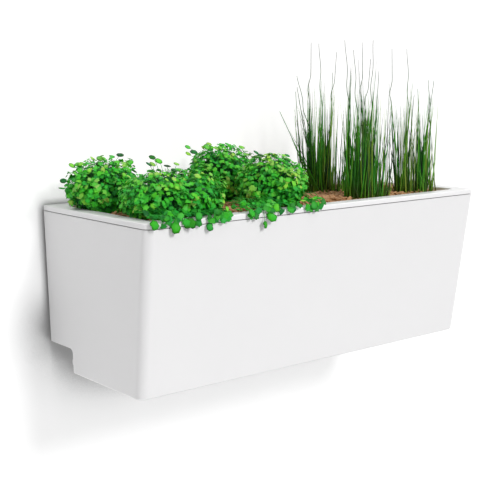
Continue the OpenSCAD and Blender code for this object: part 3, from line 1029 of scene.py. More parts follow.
@dataclass
class Liner:
    """The lift-out liner with its rim, seam, legs and openings.

    Attributes:
        outline: Outline of the box.
        wall: Thickness of its walls.
        rim_height: Height of the rim above the seam.
        rim_width: Width of the rim.
        rim_r: Radius of the rim's outer top edge.
        lip_r: Radius of the rim's inner top edge.
        under_r: Radius of the rim's lower edge.
        channel: Inset and front radius of the hollow under the rim.
        tub_r: Radius round the tub's underside.
        leg_r: Radius round the foot of each leg.
        seam: Height and depth of the shadow gap under the rim.
        floor_level: Level of its underside.
        corner_r: Radius of the opening's corners.
        front_r: Radius of the rim's front corners.
        back_r: Radius of the rim's back corners.
        legs: Half distance across, the two places in depth, radius and level of the legs.
        bores: Place and radius of the holes for the two tubes.
        slots: Half distance across, place in depth, width and depth of the wick slots.
    """

    outline: Outline
    wall: float = 0.0025
    rim_height: float = 0.008
    rim_width: float = 0.022
    rim_r: float = 0.003
    lip_r: float = 0.002
    under_r: float = 0.0006
    channel: Pair = (0.0055, 0.009)
    tub_r: float = 0.004
    leg_r: float = 0.0015
    seam: Pair = (0.001, 0.0014)
    floor_level: float = 0.065
    corner_r: float = 0.014
    front_r: float = 0.012
    back_r: float = 0.002
    legs: tuple[float, float, float, float, float] = (0.205, -0.100, -0.200, 0.011, 0.0034)
    bores: tuple[Point, Point] = ((-0.166, -0.097, 0.0151), (-0.124, -0.097, 0.0111))
    slots: Four = (0.110, -0.150, 0.0492, 0.0042)

    def rim(self) -> Obj:
        """Models the rim: a rounded flange, hollow from below and set back at the seam.

        Returns:
            The rim, still without its opening.
        """
        outline, (gap, recess) = self.outline, self.seam
        low, top = outline.height, outline.height + self.rim_height
        body = outline.block("liner_body", low + gap, top, 0.0, self.front_r, self.back_r, True)
        Bench.round_off(body, self.rim_r, 6, lambda p, w: p.z > at(top) - NEAR)
        Bench.round_off(body, self.under_r, 2, lambda p, w: p.z < at(low + gap) + NEAR)
        foot = outline.block(
            "seam_foot", low, low + gap + 0.001, recess, self.front_r - recess, self.back_r - recess, True
        )
        Bench.combine(body, Join.ADD, foot)
        room = outline.block("channel", low - OVER, top - self.wall, *self.channel, self.back_r, True)
        Bench.combine(body, Join.CUT, room)
        return body

    def build(self) -> Obj:
        """Models the liner.

        Returns:
            The liner as one closed solid.
        """
        outline = self.outline
        top = outline.height + self.rim_height
        body = self.rim()
        outer_r = self.corner_r + self.wall
        tub = outline.block(
            "tub", self.floor_level, top - self.wall / 2, self.rim_width - self.wall, outer_r, outer_r
        )
        Bench.round_off(tub, self.tub_r, 4, lambda p, w: p.z < at(self.floor_level) + NEAR)
        across, near, far, radius, level = self.legs
        foot, head = at(level), at(self.floor_level + self.wall / 2)
        for x in (-across, across):
            for y in (near, far):
                leg = Bench.rod("leg", radius, (x, y, foot), (x, y, head))
                Bench.round_off(leg, self.leg_r, 3, lambda p, w: p.z < foot + NEAR)
                Bench.combine(tub, Join.ADD, leg)
        Bench.combine(body, Join.ADD, tub)
        hollow = outline.block(
            "hollow", self.floor_level + self.wall, top + 0.004, self.rim_width, self.corner_r, self.corner_r
        )
        Bench.combine(body, Join.CUT, hollow)
        low, high = at(self.floor_level - 0.004), at(self.floor_level + 0.006)
        Bench.bore(body, self.bores, low, high)
        off, y, wide, deep = self.slots
        for x in (-off, off):
            corners = (x - wide / 2, y - deep / 2, low), (x + wide / 2, y + deep / 2, high)
            Bench.combine(body, Join.CUT, Bench.cuboid("slot", *corners))
        inner = outline.width / 2 - self.rim_width + 0.002
        front = outline.back - outline.depth + self.rim_width - 0.002
        back = outline.back - self.rim_width + 0.002
        Bench.round_off(
            body,
            self.lip_r,
            3,
            lambda p, w: p.z > at(top) - NEAR and abs(p.x) < inner and front < p.y < back,
        )
        Bench.tidy(body)
        Bench.smooth(body)
        return body

    def make(self) -> list[Obj]:
        """Builds the liner and lays its finish on it.

        Returns:
            The pieces.
        """
        piece = self.build()
        LINER_WHITE.lay_on(piece)
        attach(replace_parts(piece, "planter_liner"), "insert")
        return [piece]


@dataclass
class Stamp:
    """A modelled shape that is copied many times.

    Attributes:
        corners: Its corners, one row each.
        faces: Its faces, as numbers of corners.
        share: A value of 0 to 1 at each corner, such as the place from middle to rim.
        soft: Whether its copies are shaded smooth.
    """

    corners: np.ndarray
    faces: list[tuple[int, ...]]
    share: np.ndarray
    soft: bool

    @classmethod
    def of(cls, piece: Obj, share: Callable[[np.ndarray], np.ndarray], soft: bool) -> Stamp:
        """Takes the mesh of a modelled piece and deletes the piece.

        Args:
            piece: The modelled piece.
            share: Gives each corner's value from the corners.
            soft: Whether copies are shaded smooth.

        Returns:
            The stamp.
        """
        corners = np.array([v.co for v in piece.data.vertices])
        faces = [tuple(f.vertices) for f in piece.data.polygons]
        mesh = piece.data
        bpy.data.objects.remove(piece)
        bpy.data.meshes.remove(mesh)
        return cls(corners, faces, share(corners), soft)

    def turned(self, spot: np.ndarray, facing: np.ndarray, twist: float, size: np.ndarray) -> np.ndarray:
        """Places a copy.

        Args:
            spot: Where its origin goes.
            facing: Where its +Z points.
            twist: Turn about that direction.
            size: Scale along its own three axes.

        Returns:
            The copy's corners.
        """
        up = facing / np.linalg.norm(facing)
        side = np.cross(up, (0.31, 0.17, 0.93))
        side /= np.linalg.norm(side)
        other = np.cross(up, side)
        x = math.cos(twist) * side + math.sin(twist) * other
        y = np.cross(up, x)
        return spot + (self.corners * size) @ np.array([x, y, up])

    def along(self, path: np.ndarray, radius: float) -> np.ndarray:
        """Bends a copy of a shape that stands from 0 to 1 along Z, so that it follows a path.

        Args:
            path: Points of the path, one row each.
            radius: Scale across the path.

        Returns:
            The copy's corners.
        """
        marks = np.linspace(0.0, 1.0, len(path))
        height = self.corners[:, 2]
        middle = np.stack([np.interp(height, marks, path[:, i]) for i in range(3)], 1)
        slope = np.gradient(path, axis=0)
        way = np.stack([np.interp(height, marks, slope[:, i]) for i in range(3)], 1)
        way /= np.linalg.norm(way, axis=1)[:, None]
        side = np.cross(way, (0.0, 1.0, 0.13))
        side /= np.linalg.norm(side, axis=1)[:, None]
        other = np.cross(way, side)
        return middle + radius * (self.corners[:, :1] * side + self.corners[:, 1:2] * other)


@dataclass
class Bunch:
    """Copies of stamps, gathered into one mesh with a tint for each copy.

    Attributes:
        corners: Corners of each copy.
        faces: Faces of all copies, as numbers of corners.
        tints: The tint at each copy's corners.
        shares: The stamp's value at each copy's corners.
        soft: Whether each face is shaded smooth.
        count: Number of corners so far.
    """

    corners: list[np.ndarray] = field(default_factory=list)
    faces: list[tuple[int, ...]] = field(default_factory=list)
    tints: list[np.ndarray] = field(default_factory=list)
    shares: list[np.ndarray] = field(default_factory=list)
    soft: list[bool] = field(default_factory=list)
    count: int = 0

    def add(self, stamp: Stamp, corners: np.ndarray, tint: float, share: np.ndarray | None = None) -> None:
        """Adds one copy.

        Args:
            stamp: The shape.
            corners: The copy's corners.
            tint: Its tint from 0 to 1.
            share: Values at its corners, where they aren't the stamp's own.
        """
        self.corners.append(corners)
        self.faces.extend(tuple(i + self.count for i in f) for f in stamp.faces)
        self.tints.append(np.full(len(corners), tint))
        self.shares.append(stamp.share if share is None else share)
        self.soft.extend([stamp.soft] * len(stamp.faces))
        self.count += len(corners)

    def put(
        self, stamp: Stamp, spot: np.ndarray, facing: np.ndarray, twist: float, size: np.ndarray, tint: float
    ) -> None:
        """Adds one copy, placed as Stamp.turned places it."""
        self.add(stamp, stamp.turned(spot, facing, twist, size), tint)

    def piece(self, name: str) -> Obj:
        """Makes the gathered copies a piece.

        Args:
            name: Name of the piece.

        Returns:
            The piece, with the attributes "tint" and "rim" at its corners.
        """
        mesh = bpy.data.meshes.new(name)
        mesh.from_pydata(np.concatenate(self.corners).tolist(), [], self.faces)
        for label, values in (("tint", self.tints), ("rim", self.shares)):
            layer = mesh.attributes.new(label, "FLOAT", "POINT")
            layer.data.foreach_set("value", np.concatenate(values).astype(np.float32))
        mesh.polygons.foreach_set("use_smooth", self.soft)
        mesh.update()
        obj = bpy.data.objects.new(name, mesh)
        bpy.context.scene.collection.objects.link(obj)
        return obj


class Shapes:
    """The small shapes that are modelled once and copied."""

    @staticmethod
    def leaf(points: int, notch: float, scallop: float, dome: float, soft: bool) -> Stamp:
        """Models a round leaf of radius 1 that faces +Z.

        Args:
            points: Number of corners round it, an even number.
            notch: How far the leaf is cut in at its stalk.
            scallop: How far every other corner is drawn in.
            dome: How far it swells up between its middle and its rim.
            soft: Whether it is shaded smooth.

        Returns:
            The leaf, with 0 at its middle and 1 at its rim.
        """
        Bench.activate(None)
        bpy.ops.mesh.primitive_circle_add(vertices=points, radius=1.0, fill_type="NGON")
        leaf = Bench.adopt("leaf")
        with Bench.editing(leaf):
            bpy.ops.mesh.select_all(action="SELECT")
            bpy.ops.mesh.inset(thickness=0.42)
            bpy.ops.mesh.poke()
            step = 2 * math.pi / points
            Bench.pick(
                leaf, Part.VERT, lambda p, n: p.length > 0.9 and round(math.atan2(p.x, p.y) / step) % 2 == 1
            )
            drawn = 1 - scallop
            bpy.ops.transform.resize(value=(drawn, drawn, 1.0), center_override=(0.0, 0.0, 0.0))
            by_stalk = 0.8 * drawn
            Bench.shift(leaf, (0.0, -notch, 0.0), lambda p, n: p.y > by_stalk and abs(p.x) < 0.1)
            Bench.shift(leaf, (0.0, 0.0, 0.8 * dome), lambda p, n: p.length < 0.1)
            Bench.shift(leaf, (0.0, 0.0, dome), lambda p, n: 0.2 < p.length < 0.7)
            bpy.ops.mesh.select_all(action="DESELECT")
            bpy.ops.mesh.select_mode(type="EDGE")
            bpy.ops.mesh.select_non_manifold(extend=False)
            bpy.ops.mesh.edge_face_add()
        return Stamp.of(leaf, lambda c: np.clip(np.hypot(c[:, 0], c[:, 1]), 0.0, 1.0), soft)

    @staticmethod
    def stalk(sides: int, rings: int, middle: float, tip: float) -> Stamp:
        """Models a tapered stem of radius 1 that stands from 0 to 1 along Z.

        Args:
            sides: Number of its sides.
            rings: Number of its lengths.
            middle: Its radius half way up.
            tip: Its radius at the tip.

        Returns:
            The stem, with 0 at its foot and 1 at its tip.
        """
        Bench.activate(None)
        bpy.ops.mesh.primitive_circle_add(vertices=sides, radius=1.0, fill_type="NGON")
        stem = Bench.adopt("stem")
        with Bench.editing(stem):
            bpy.ops.mesh.select_all(action="SELECT")
            last = 1.0
            for ring in range(1, rings + 1):
                up = ring / rings
                size = float(np.interp(up, (0.0, 0.5, 1.0), (1.0, middle, tip)))
                taper = size / last
                bpy.ops.mesh.extrude_region_move(TRANSFORM_OT_translate={"value": (0.0, 0.0, 1.0 / rings)})
                bpy.ops.transform.resize(value=(taper, taper, 1.0), center_override=(0.0, 0.0, up))
                last = size
        Bench.tidy(stem)
        return Stamp.of(stem, lambda c: np.clip(c[:, 2], 0.0, 1.0), True)

    @staticmethod
    def chip(seed: int) -> Stamp:
        """Models a splinter of bark about 1 long, with torn ends.

        Args:
            seed: Seed of its uneven corners.

        Returns:
            The splinter.
        """
        rng = np.random.default_rng(seed)
        chip = Bench.cuboid("chip", (-0.5, -0.17, -0.08), (0.5, 0.17, 0.08))
        with Bench.editing(chip):
            Bench.pick(chip, Part.EDGE, lambda p, w: abs(w.x) > 0.9)
            bpy.ops.mesh.subdivide(number_cuts=2)
            for end in (-1, 1):
                Bench.pick(chip, Part.VERT, lambda p, n: p.x * end > 0.4)
                thin = rng.uniform(0.35, 0.8)
                bpy.ops.transform.resize(value=(1.0, thin, 0.6), center_override=(0.0, 0.0, 0.0))
                bpy.ops.transform.translate(value=(0.0, rng.uniform(-0.08, 0.08), rng.uniform(0.0, 0.07)))
            for end in (-1, 1):
                tear = (rng.uniform(-0.12, 0.12), 0.0, 0.0)
                Bench.shift(chip, tear, lambda p, n: p.x * end > 0.3 and p.y > 0.0)
            warp = (0.0, rng.uniform(-0.07, 0.07), rng.uniform(-0.06, 0.06))
            Bench.shift(chip, warp, lambda p, n: 0.1 < p.x < 0.3)
        return Stamp.of(chip, lambda c: np.clip(c[:, 0] + 0.5, 0.0, 1.0), False)


@dataclass
class Wicks:
    """The felt mat on the liner's floor and the two tails that hang into the reservoir.

    Attributes:
        outline: Outline of the box.
        levels: Lowest and highest level of the mat.
        inset: How far the mat is drawn in from the outline.
        corner_r: Radius of the mat's corners.
        edge_r: Radius of the mat's pressed edge.
        tail_r: Radius of the tails' edges.
        bends: Number of lengths in which the tails bend.
        holes: Place and radius of the mat's holes round the tubes.
        tail: Half distance across, place in depth, width and thickness of the tails.
        tail_levels: Lowest and highest level of the tails.
    """

    outline: Outline
    levels: Pair = (0.0675, 0.0705)
    inset: float = 0.0225
    corner_r: float = 0.014
    edge_r: float = 0.0009
    tail_r: float = 0.0008
    bends: int = 16
    holes: tuple[Point, Point] = ((-0.166, -0.097, 0.0194), (-0.124, -0.097, 0.0154))
    tail: Four = (0.110, -0.150, 0.048, 0.003)
    tail_levels: Pair = (0.008, 0.0675)

    def mat(self) -> Obj:
        """Models the mat, with its holes and its softly pressed edge.

        Returns:
            The mat.
        """
        low, high = self.levels
        mat = self.outline.block("wick_mat_felt", low, high, self.inset, self.corner_r, self.corner_r)
        Bench.round_off(mat, self.edge_r, 2, lambda p, w: abs(w.z) < 0.5)
        Bench.bore(mat, self.holes, at(low) - OVER, at(high) + OVER)
        Bench.smooth(mat)
        return mat

    def tails(self) -> Obj:
        """Models the two tails as strips of felt that hang with a slight wave.

        Returns:
            Both tails as one piece.
        """
        off, y, wide, thick = self.tail
        low, high = (at(v) for v in self.tail_levels)
        strips = []
        for x in (-off, off):
            strip = Bench.cuboid(
                "tail", (x - wide / 2, y - thick / 2, low), (x + wide / 2, y + thick / 2, high)
            )
            Bench.round_off(strip, self.tail_r, 2, lambda p, w: p.z < low + NEAR or abs(w.z) > 0.9)
            with Bench.editing(strip):
                for cut in range(1, self.bends):
                    bpy.ops.mesh.select_all(action="SELECT")
                    level = low + (high - low) * cut / self.bends
                    bpy.ops.mesh.bisect(plane_co=(0.0, 0.0, level), plane_no=(0.0, 0.0, 1.0))
            for corner in strip.data.vertices:
                drop = (high - corner.co.z) / (high - low)
                corner.co.y += 0.0016 * drop * math.sin(9.0 * drop + 40.0 * (corner.co.x - x))
                corner.co.x += 0.0008 * drop * math.sin(14.0 * drop + 3.0 * x)
            strips.append(strip)
        Bench.activate(strips[0])
        strips[1].select_set(True)
        bpy.ops.object.join()
        piece = bpy.context.object
        piece.name = "wick_tail_strips"
        Bench.smooth(piece)
        return piece

    def make(self) -> list[Obj]:
        """Builds the felt and lays its finish on it.

        Returns:
            The pieces.
        """
        mat, tails = self.mat(), self.tails()
        for piece, node in ((mat, "wick_mat"), (tails, "wick_tails")):
            FELT.lay_on(piece)
            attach(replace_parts(piece, node), "insert")
        return [mat, tails]


@dataclass
class Mulch:
    """The layer of shredded bark on top of the soil.

    Attributes:
        outline: Outline of the box.
        levels: Lowest and highest level of the layer.
        inset: How far it is drawn in from the outline.
        corner_r: Radius of its corners.
        cell: Size of the faces of its uneven top.
        bores: Place and radius of the room round the tubes.
        lugs: Half width and depth of the room left for the collar's lugs.
        keep_off: Radius of the room left round the collar and the cap.
        margin: How far the chips' middles stay off the layer's edge.
        lengths: Length of the shortest and the longest chip.
        chips: Number of loose chips on it.
        seed: Seed of their places.
    """

    outline: Outline
    levels: Pair = (0.209, 0.2185)
    inset: float = 0.0225
    corner_r: float = 0.014
    cell: float = 0.0035
    bores: tuple[Point, Point] = ((-0.166, -0.097, 0.0154), (-0.124, -0.097, 0.0114))
    lugs: Pair = (0.022, 0.042)
    keep_off: Pair = (0.031, 0.023)
    margin: float = 0.010
    lengths: Pair = (0.006, 0.016)
    chips: int = 1700
    seed: int = 7

    def bed(self) -> Obj:
        """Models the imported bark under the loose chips.

        Returns:
            The bed, with an uneven top.
        """
        low, high = self.levels
        bed = self.outline.block("bark_bed", low, high, self.inset, self.corner_r, self.corner_r)
        Bench.bore(bed, self.bores, at(low) - OVER, at(high) + OVER)
        cells = bed.modifiers.new("cells", "REMESH")
        cells.mode = "VOXEL"
        cells.voxel_size = self.cell
        Bench.apply(bed, cells)
        top = at(high)
        for corner in bed.data.vertices:
            if corner.co.z > top - 0.003:
                lump = noise.fractal(corner.co * 90.0, 0.9, 2.0, 3)
                corner.co.z += 0.0011 * lump - 0.0006
        tint = bed.data.attributes.new("tint", "FLOAT", "POINT")
        shade = [0.02 + 0.08 * noise.noise(v.co * 120.0) for v in bed.data.vertices]
        tint.data.foreach_set("value", shade)
        Bench.activate(bed)
        bpy.ops.object.shade_smooth()
        return bed

    def clear_of_tubes(self, x: float, y: float) -> bool:
        """Says whether a chip may lie at a place, beside the collar, its lugs and the cap.

        Args:
            x: The place across the box.
            y: The place in depth.

        Returns:
            True where the chip is clear of them.
        """
        filler_x, filler_y, _ = self.bores[0]
        wide, deep = self.lugs
        if abs(x - filler_x) < wide and filler_y < y < filler_y + deep:
            return False
        rooms = zip(self.bores, self.keep_off)
        return all(math.hypot(x - bore[0], y - bore[1]) > room for bore, room in rooms)

    def loose(self) -> Obj:
        """Scatters chips over the bed.

        Returns:
            All chips as one piece.
        """
        rng = np.random.default_rng(self.seed)
        shapes = [Shapes.chip(seed) for seed in range(4)]
        bunch = Bunch()
        top = self.levels[1]
        half = self.outline.half_width(top) - self.inset - self.margin
        front = self.outline.front(top) + self.inset + self.margin
        back = self.outline.back - self.inset - self.margin
        while len(bunch.tints) < self.chips:
            x, y = rng.uniform(-half, half), rng.uniform(front, back)
            if not self.clear_of_tubes(x, y):
                continue
            length = rng.uniform(*self.lengths)
            size = length * np.array([1.0, rng.uniform(0.7, 1.5), rng.uniform(0.8, 1.5)])
            facing = np.array([rng.normal(0, 0.3), rng.normal(0, 0.3), 1.0])
            spot = np.array([x, y, at(top) + rng.uniform(-0.0005, 0.0026)])
            shape = shapes[rng.integers(len(shapes))]
            bunch.put(shape, spot, facing, any_turn(rng), size, rng.beta(2.2, 1.8))
        return bunch.piece("bark_loose_chips")

    def make(self) -> list[Obj]:
        """Builds the bark and lays its finish on it.

        Returns:
            The pieces.
        """
        bed, loose = self.bed(), self.loose()
        for piece in (bed, loose):
            BARK.lay_on(piece)
            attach(piece, "insert")
        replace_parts(bed, "bark_mulch")
        return [bed, loose]


@dataclass(frozen=True)
class Clump:
    """One mound of cress.

    Attributes:
        node: The solid that it stands for.
        x: Its middle across the box.
        y: Its middle in depth.
        rx: Half its width.
        ry: Half its depth.
        height: Its height above the mulch.
        leaves: Number of its leaves.
        seed: Seed of their places.
        bright: Shift of their tint.
        fringe: Stretches along the front where its leaves lie on the rim.
        trails: Place across the box, level, radius and tint of each leaf that hangs over the rim's front.
        coins: Place across the box and level of each leaf that stands above the clump.
    """

    node: str
    x: float
    y: float
    rx: float
    ry: float
    height: float
    leaves: int
    seed: int
    bright: float = 0.0
    fringe: tuple[Pair, ...] = ()
    trails: tuple[Four, ...] = ()
    coins: tuple[Pair, ...] = ()


@dataclass
class Cress:
    """The four clumps of cress on the left of the box.

    Attributes:
        ground: Level of the mulch.
        rim_top: Level of the rim's top.
        rim_front: Place of the rim's front.
        opening: Left and front edge of the opening.
        core_share: Share of a clump's height at which its core lies.
        heart_share: Share of a clump's width and depth that its heart fills.
        stalk_share: Place between a leaf's middle and rim whose shade a stalk's tip takes.
        leaf_r: Range of the radius of the leaves that cover a clump.
        spare_coins: Number of leaves that stand above each clump besides the placed ones.
        coin_r: Range of their radius.
        coin_tints: Their tints.
        fringe_density: Number of leaves on each metre of the rim.
        fringe_r: Range of their radius.
        curtain_density: Number of small leaves that hang over each metre of the rim's front.
        curtain_r: Range of their radius.
        curtain_levels: Range of their level.
        clumps: The clumps.
        shapes: The leaf shapes, set when the clumps are made.
        stalk: The stalk shape, set when the clumps are made.
    """

    ground: float = 0.219
    rim_top: float = 0.225
    rim_front: float = -0.260
    opening: Pair = (-0.278, -0.238)
    core_share: float = 0.38
    heart_share: float = 0.72
    stalk_share: float = 0.4
    leaf_r: Pair = (0.0024, 0.0046)
    spare_coins: int = 5
    coin_r: Pair = (0.0042, 0.0056)
    coin_tints: tuple[float, ...] = (0.15, 0.3, 0.78, 0.95)
    fringe_density: float = 560.0
    fringe_r: Pair = (0.0038, 0.0062)
    curtain_density: float = 170.0
    curtain_r: Pair = (0.0040, 0.0062)
    curtain_levels: Pair = (0.2205, 0.2305)
    clumps: tuple[Clump, ...] = (
        Clump(
            "cress_back_left", -0.248, -0.0803, 0.052, 0.0473, 0.0722, 1700, 11, 0.08,
            coins=((-0.2931, 0.2828), (-0.2844, 0.2848), (-0.2638, 0.2905), (-0.2523, 0.2899),
                   (-0.2331, 0.2917), (-0.2232, 0.2934), (-0.2065, 0.2870), (-0.3120, 0.2546),
                   (-0.3080, 0.2639)),
        ),
        Clump(
            "cress_front_left", -0.214, -0.1928, 0.074, 0.0553, 0.0623, 2200, 12, 0.0,
            ((-0.284, -0.176),),
            ((-0.2918, 0.2235, 0.0066, 0.55), (-0.2622, 0.2178, 0.0078, 0.48),
             (-0.2538, 0.2301, 0.0060, 0.72), (-0.2408, 0.2207, 0.0084, 0.34),
             (-0.2098, 0.2140, 0.0056, 0.45), (-0.1986, 0.2319, 0.0066, 0.28),
             (-0.1824, 0.2339, 0.0042, 0.82), (-0.2270, 0.2290, 0.0062, 0.50),
             (-0.2740, 0.2300, 0.0058, 0.38)),
            ((-0.2443, 0.2973), (-0.2344, 0.2921), (-0.2506, 0.2891), (-0.2432, 0.2887),
             (-0.2067, 0.2869), (-0.2216, 0.2852)),
        ),
        Clump(
            "cress_back_middle", -0.050, -0.0803, 0.050, 0.0473, 0.0820, 1600, 13, 0.08,
            coins=((-0.1104, 0.2988), (-0.1099, 0.2894), (-0.1008, 0.2915), (-0.0799, 0.2974),
                   (-0.0674, 0.2963), (-0.0461, 0.2979), (-0.0354, 0.2988), (-0.0165, 0.2946)),
        ),
        Clump(
            "cress_front_middle", -0.052, -0.1928, 0.042, 0.0553, 0.0738, 1900, 14, 0.17,
            ((-0.148, -0.128), (-0.122, -0.012)),
            ((-0.1434, 0.2255, 0.0070, 0.55), (-0.1110, 0.2181, 0.0080, 0.60),
             (-0.1214, 0.2086, 0.0056, 0.42), (-0.1025, 0.2289, 0.0060, 0.74),
             (-0.0741, 0.2254, 0.0058, 0.26), (-0.0379, 0.2270, 0.0070, 0.40)),
            ((-0.0765, 0.2954), (-0.0569, 0.2872), (-0.0458, 0.2885), (-0.0255, 0.2825),
             (-0.0674, 0.2907)),
        ),
    )
    shapes: list[Stamp] = field(default_factory=list)
    stalk: Stamp | None = None

    def skin(self, clump: Clump, up: float, turn: float) -> np.ndarray:
        """Gives a point on the outside of a clump.

        Args:
            clump: The clump.
            up: Share of its height.
            turn: Angle about its middle.

        Returns:
            The point.
        """
        marks = (0.0, 0.11, 0.23, 0.41, 0.63, 0.84, 0.965, 1.0)
        shares = (0.74, 0.78, 0.91, 1.0, 0.95, 0.74, 0.4, 0.0)
        share = float(np.interp(up, marks, shares))
        share *= 1 + 0.06 * math.sin(5 * turn + 6 * up + clump.seed)
        x, y = clump.x + clump.rx * share * math.cos(turn), clump.y + clump.ry * share * math.sin(turn)
        return np.array(self.drawn_in(x, y, self.ground + clump.height * up))

    def core(self, clump: Clump) -> np.ndarray:
        """Gives the point inside a clump from which its leaves point away."""
        return np.array([clump.x, clump.y, at(self.ground) + self.core_share * clump.height])

    def stem(self, bunch: Bunch, points: Sequence[Sequence[float]], radius: float, tint: float) -> None:
        """Adds the thin stalk of a leaf through some points."""
        corners = self.stalk.along(np.array(points), radius)
        bunch.add(self.stalk, corners, tint, self.stalk.share * self.stalk_share)

    def drawn_in(self, x: float, y: float, level: float) -> Point:
        """Keeps a point inside the opening's left and front edge up to the rim, and lets it swell out above.

        Args:
            x: Its place across the box.
            y: Its place in depth.
            level: Its level.

        Returns:
            The point.
        """
        out = float(np.interp(level - self.rim_top, (0.0, 0.022), (-0.003, 0.045)))
        left, front = self.opening
        return max(x, left - out), max(y, front - out), at(level)

    def heart(self, clump: Clump, name: str) -> Obj:
        """Models a dark lumpy mound inside a clump, as painted shade in the gaps between its leaves.

        Args:
            clump: The clump.
            name: Name of the piece.

        Returns:
            A lumpy mound a little smaller than the clump.
        """
        Bench.activate(None)
        bpy.ops.mesh.primitive_ico_sphere_add(subdivisions=5, radius=1.0)
        heart = Bench.adopt(name)
        for corner in heart.data.vertices:
            lump = 1 + 0.16 * noise.fractal(corner.co * 4.0 + Vector((clump.seed, 0, 0)), 0.8, 2.0, 4)
            p = corner.co * lump
            z = max(p.z, -0.55)
            x = clump.x + self.heart_share * clump.rx * p.x
            y = clump.y + self.heart_share * clump.ry * p.y
            corner.co = self.drawn_in(x, y, self.ground + clump.height * (0.30 + 0.5 * z))
        # Painted shade: low tints make the mound read as the dark between the leaves.
        for label, low, high in (("tint", 0.08, 0.26), ("rim", 0.5, 1.0)):
            layer = heart.data.attributes.new(label, "FLOAT", "POINT")
            shares = [0.5 + 0.5 * noise.noise(v.co * 260.0) for v in heart.data.vertices]
            layer.data.foreach_set("value", [low + (high - low) * share for share in shares])
        Bench.activate(heart)
        bpy.ops.object.shade_smooth()
        return heart

    def cover(self, clump: Clump, bunch: Bunch, rng: Rng) -> None:
        """Covers a clump with leaves, with painted shade on its inner leaves and in its hollows and painted
        light on its swellings and higher up.

        Args:
            clump: The clump.
            bunch: Where they are gathered.
            rng: Source of their places.
        """
        core = self.core(clump)
        for number in range(clump.leaves):
            up = 1 - (1 - rng.uniform(0.03, 1.0)) ** 0.85
            skin = self.skin(clump, up, any_turn(rng))
            swell = noise.noise(Vector(skin) * 52.0)
            outer = number > 0.42 * clump.leaves
            deep = rng.uniform(0.9, 1.03) if outer else rng.uniform(0.74, 0.92)
            spot = core + (deep + 0.09 * swell) * (skin - core)
            spot[2] = max(spot[2], at(self.ground) + 0.004)
            away = (skin - core) / (clump.rx, clump.ry, 0.6 * clump.height)
            facing = away / np.linalg.norm(away) * 0.8 + (0.0, -0.1, 0.42) + rng.normal(0, 0.36, 3)
            radius = rng.uniform(*self.leaf_r) * (1.3 - 0.4 * up)
            # Painted shade and light: inner leaves and those in hollows are darker, outer, higher and
            # swelling ones brighter.
            tint = 0.25 + 0.36 * (deep - 0.74) / 0.29 + 0.08 * up + 0.4 * swell
            tint = tint + rng.normal(0, 0.12) + clump.bright
            if rng.random() < 0.02:
                tint = rng.uniform(0.8, 1.0)
            size = radius * np.array([1.0, rng.uniform(0.75, 1.05), 1.0])
            shape = self.shapes[rng.integers(2)]
            bunch.put(shape, spot, facing, any_turn(rng), size, float(np.clip(tint, 0.0, 1.0)))
            if outer and rng.random() < 0.4:
                start = core + 0.55 * deep * (skin - core)
                middle = (start + spot) / 2 + rng.normal(0, 0.0015, 3)
                self.stem(bunch, (start, middle, spot), 0.00042, rng.uniform(0.55, 0.95))

    def coins(self, clump: Clump, bunch: Bunch, rng: Rng) -> None:
        """Adds the round leaves that stand on thin stalks above a clump.

        Args:
            clump: The clump.
            bunch: Where they are gathered.
            rng: Source of their places.
        """
        core, coin = self.core(clump), self.shapes[2]
        spots = [np.array([x, clump.y + rng.normal(0, 0.003), at(level)]) for x, level in clump.coins]
        for _ in range(self.spare_coins):
            skin = self.skin(clump, rng.uniform(0.62, 0.99), any_turn(rng))
            spots.append(core + rng.uniform(1.04, 1.12) * (skin - core))
        for spot in spots:
            base = core + 0.7 * (spot - core)
            middle = (base + spot) / 2 + rng.normal(0, 0.0018, 3)
            self.stem(bunch, (base, middle, spot), 0.0004, 0.62)
            facing = np.array([rng.normal(0, 0.2), -0.5 + rng.normal(0, 0.15), 0.85])
            size = rng.uniform(*self.coin_r) * np.array([1.0, 0.95, 1.0])
            turn = any_turn(rng)
            tint = rng.choice(self.coin_tints) + rng.normal(0, 0.05)
            bunch.put(coin, spot, facing, turn, size, tint)

    def fringe(self, clump: Clump, bunch: Bunch, rng: Rng) -> None:
        """Lays leaves of a front clump on the rim's top, one over the other.

        Args:
            clump: The clump.
            bunch: Where they are gathered.
            rng: Source of their places.
        """
        places = [
            rng.uniform(low, high)
            for low, high in clump.fringe
            for _ in range(int((high - low) * self.fringe_density))
        ]
        for place in places:
            out = rng.random() ** 1.4
            spot = np.array([place, -0.226 - 0.030 * out, at(self.rim_top) + rng.uniform(0.0045, 0.011)])
            spot[2] -= 0.003 * out
            start = spot + (rng.normal(0, 0.004), 0.016 + 0.022 * out, 0.005)
            middle = (start + spot) / 2 + (0.0, 0.0, 0.004)
            self.stem(bunch, (start, middle, spot), 0.0005, 0.5)
            facing = np.array([rng.normal(-0.1, 0.3), -0.6 + rng.normal(0, 0.2), 0.85])
            size = rng.uniform(*self.fringe_r) * np.array([1.0, rng.uniform(0.8, 1.0), 1.0])
            shape = self.shapes[rng.integers(2)]
            turn = any_turn(rng)
            tint = float(np.clip(rng.normal(0.4 + clump.bright, 0.17), 0.08, 0.9))
            bunch.put(shape, spot, facing, turn, size, tint)

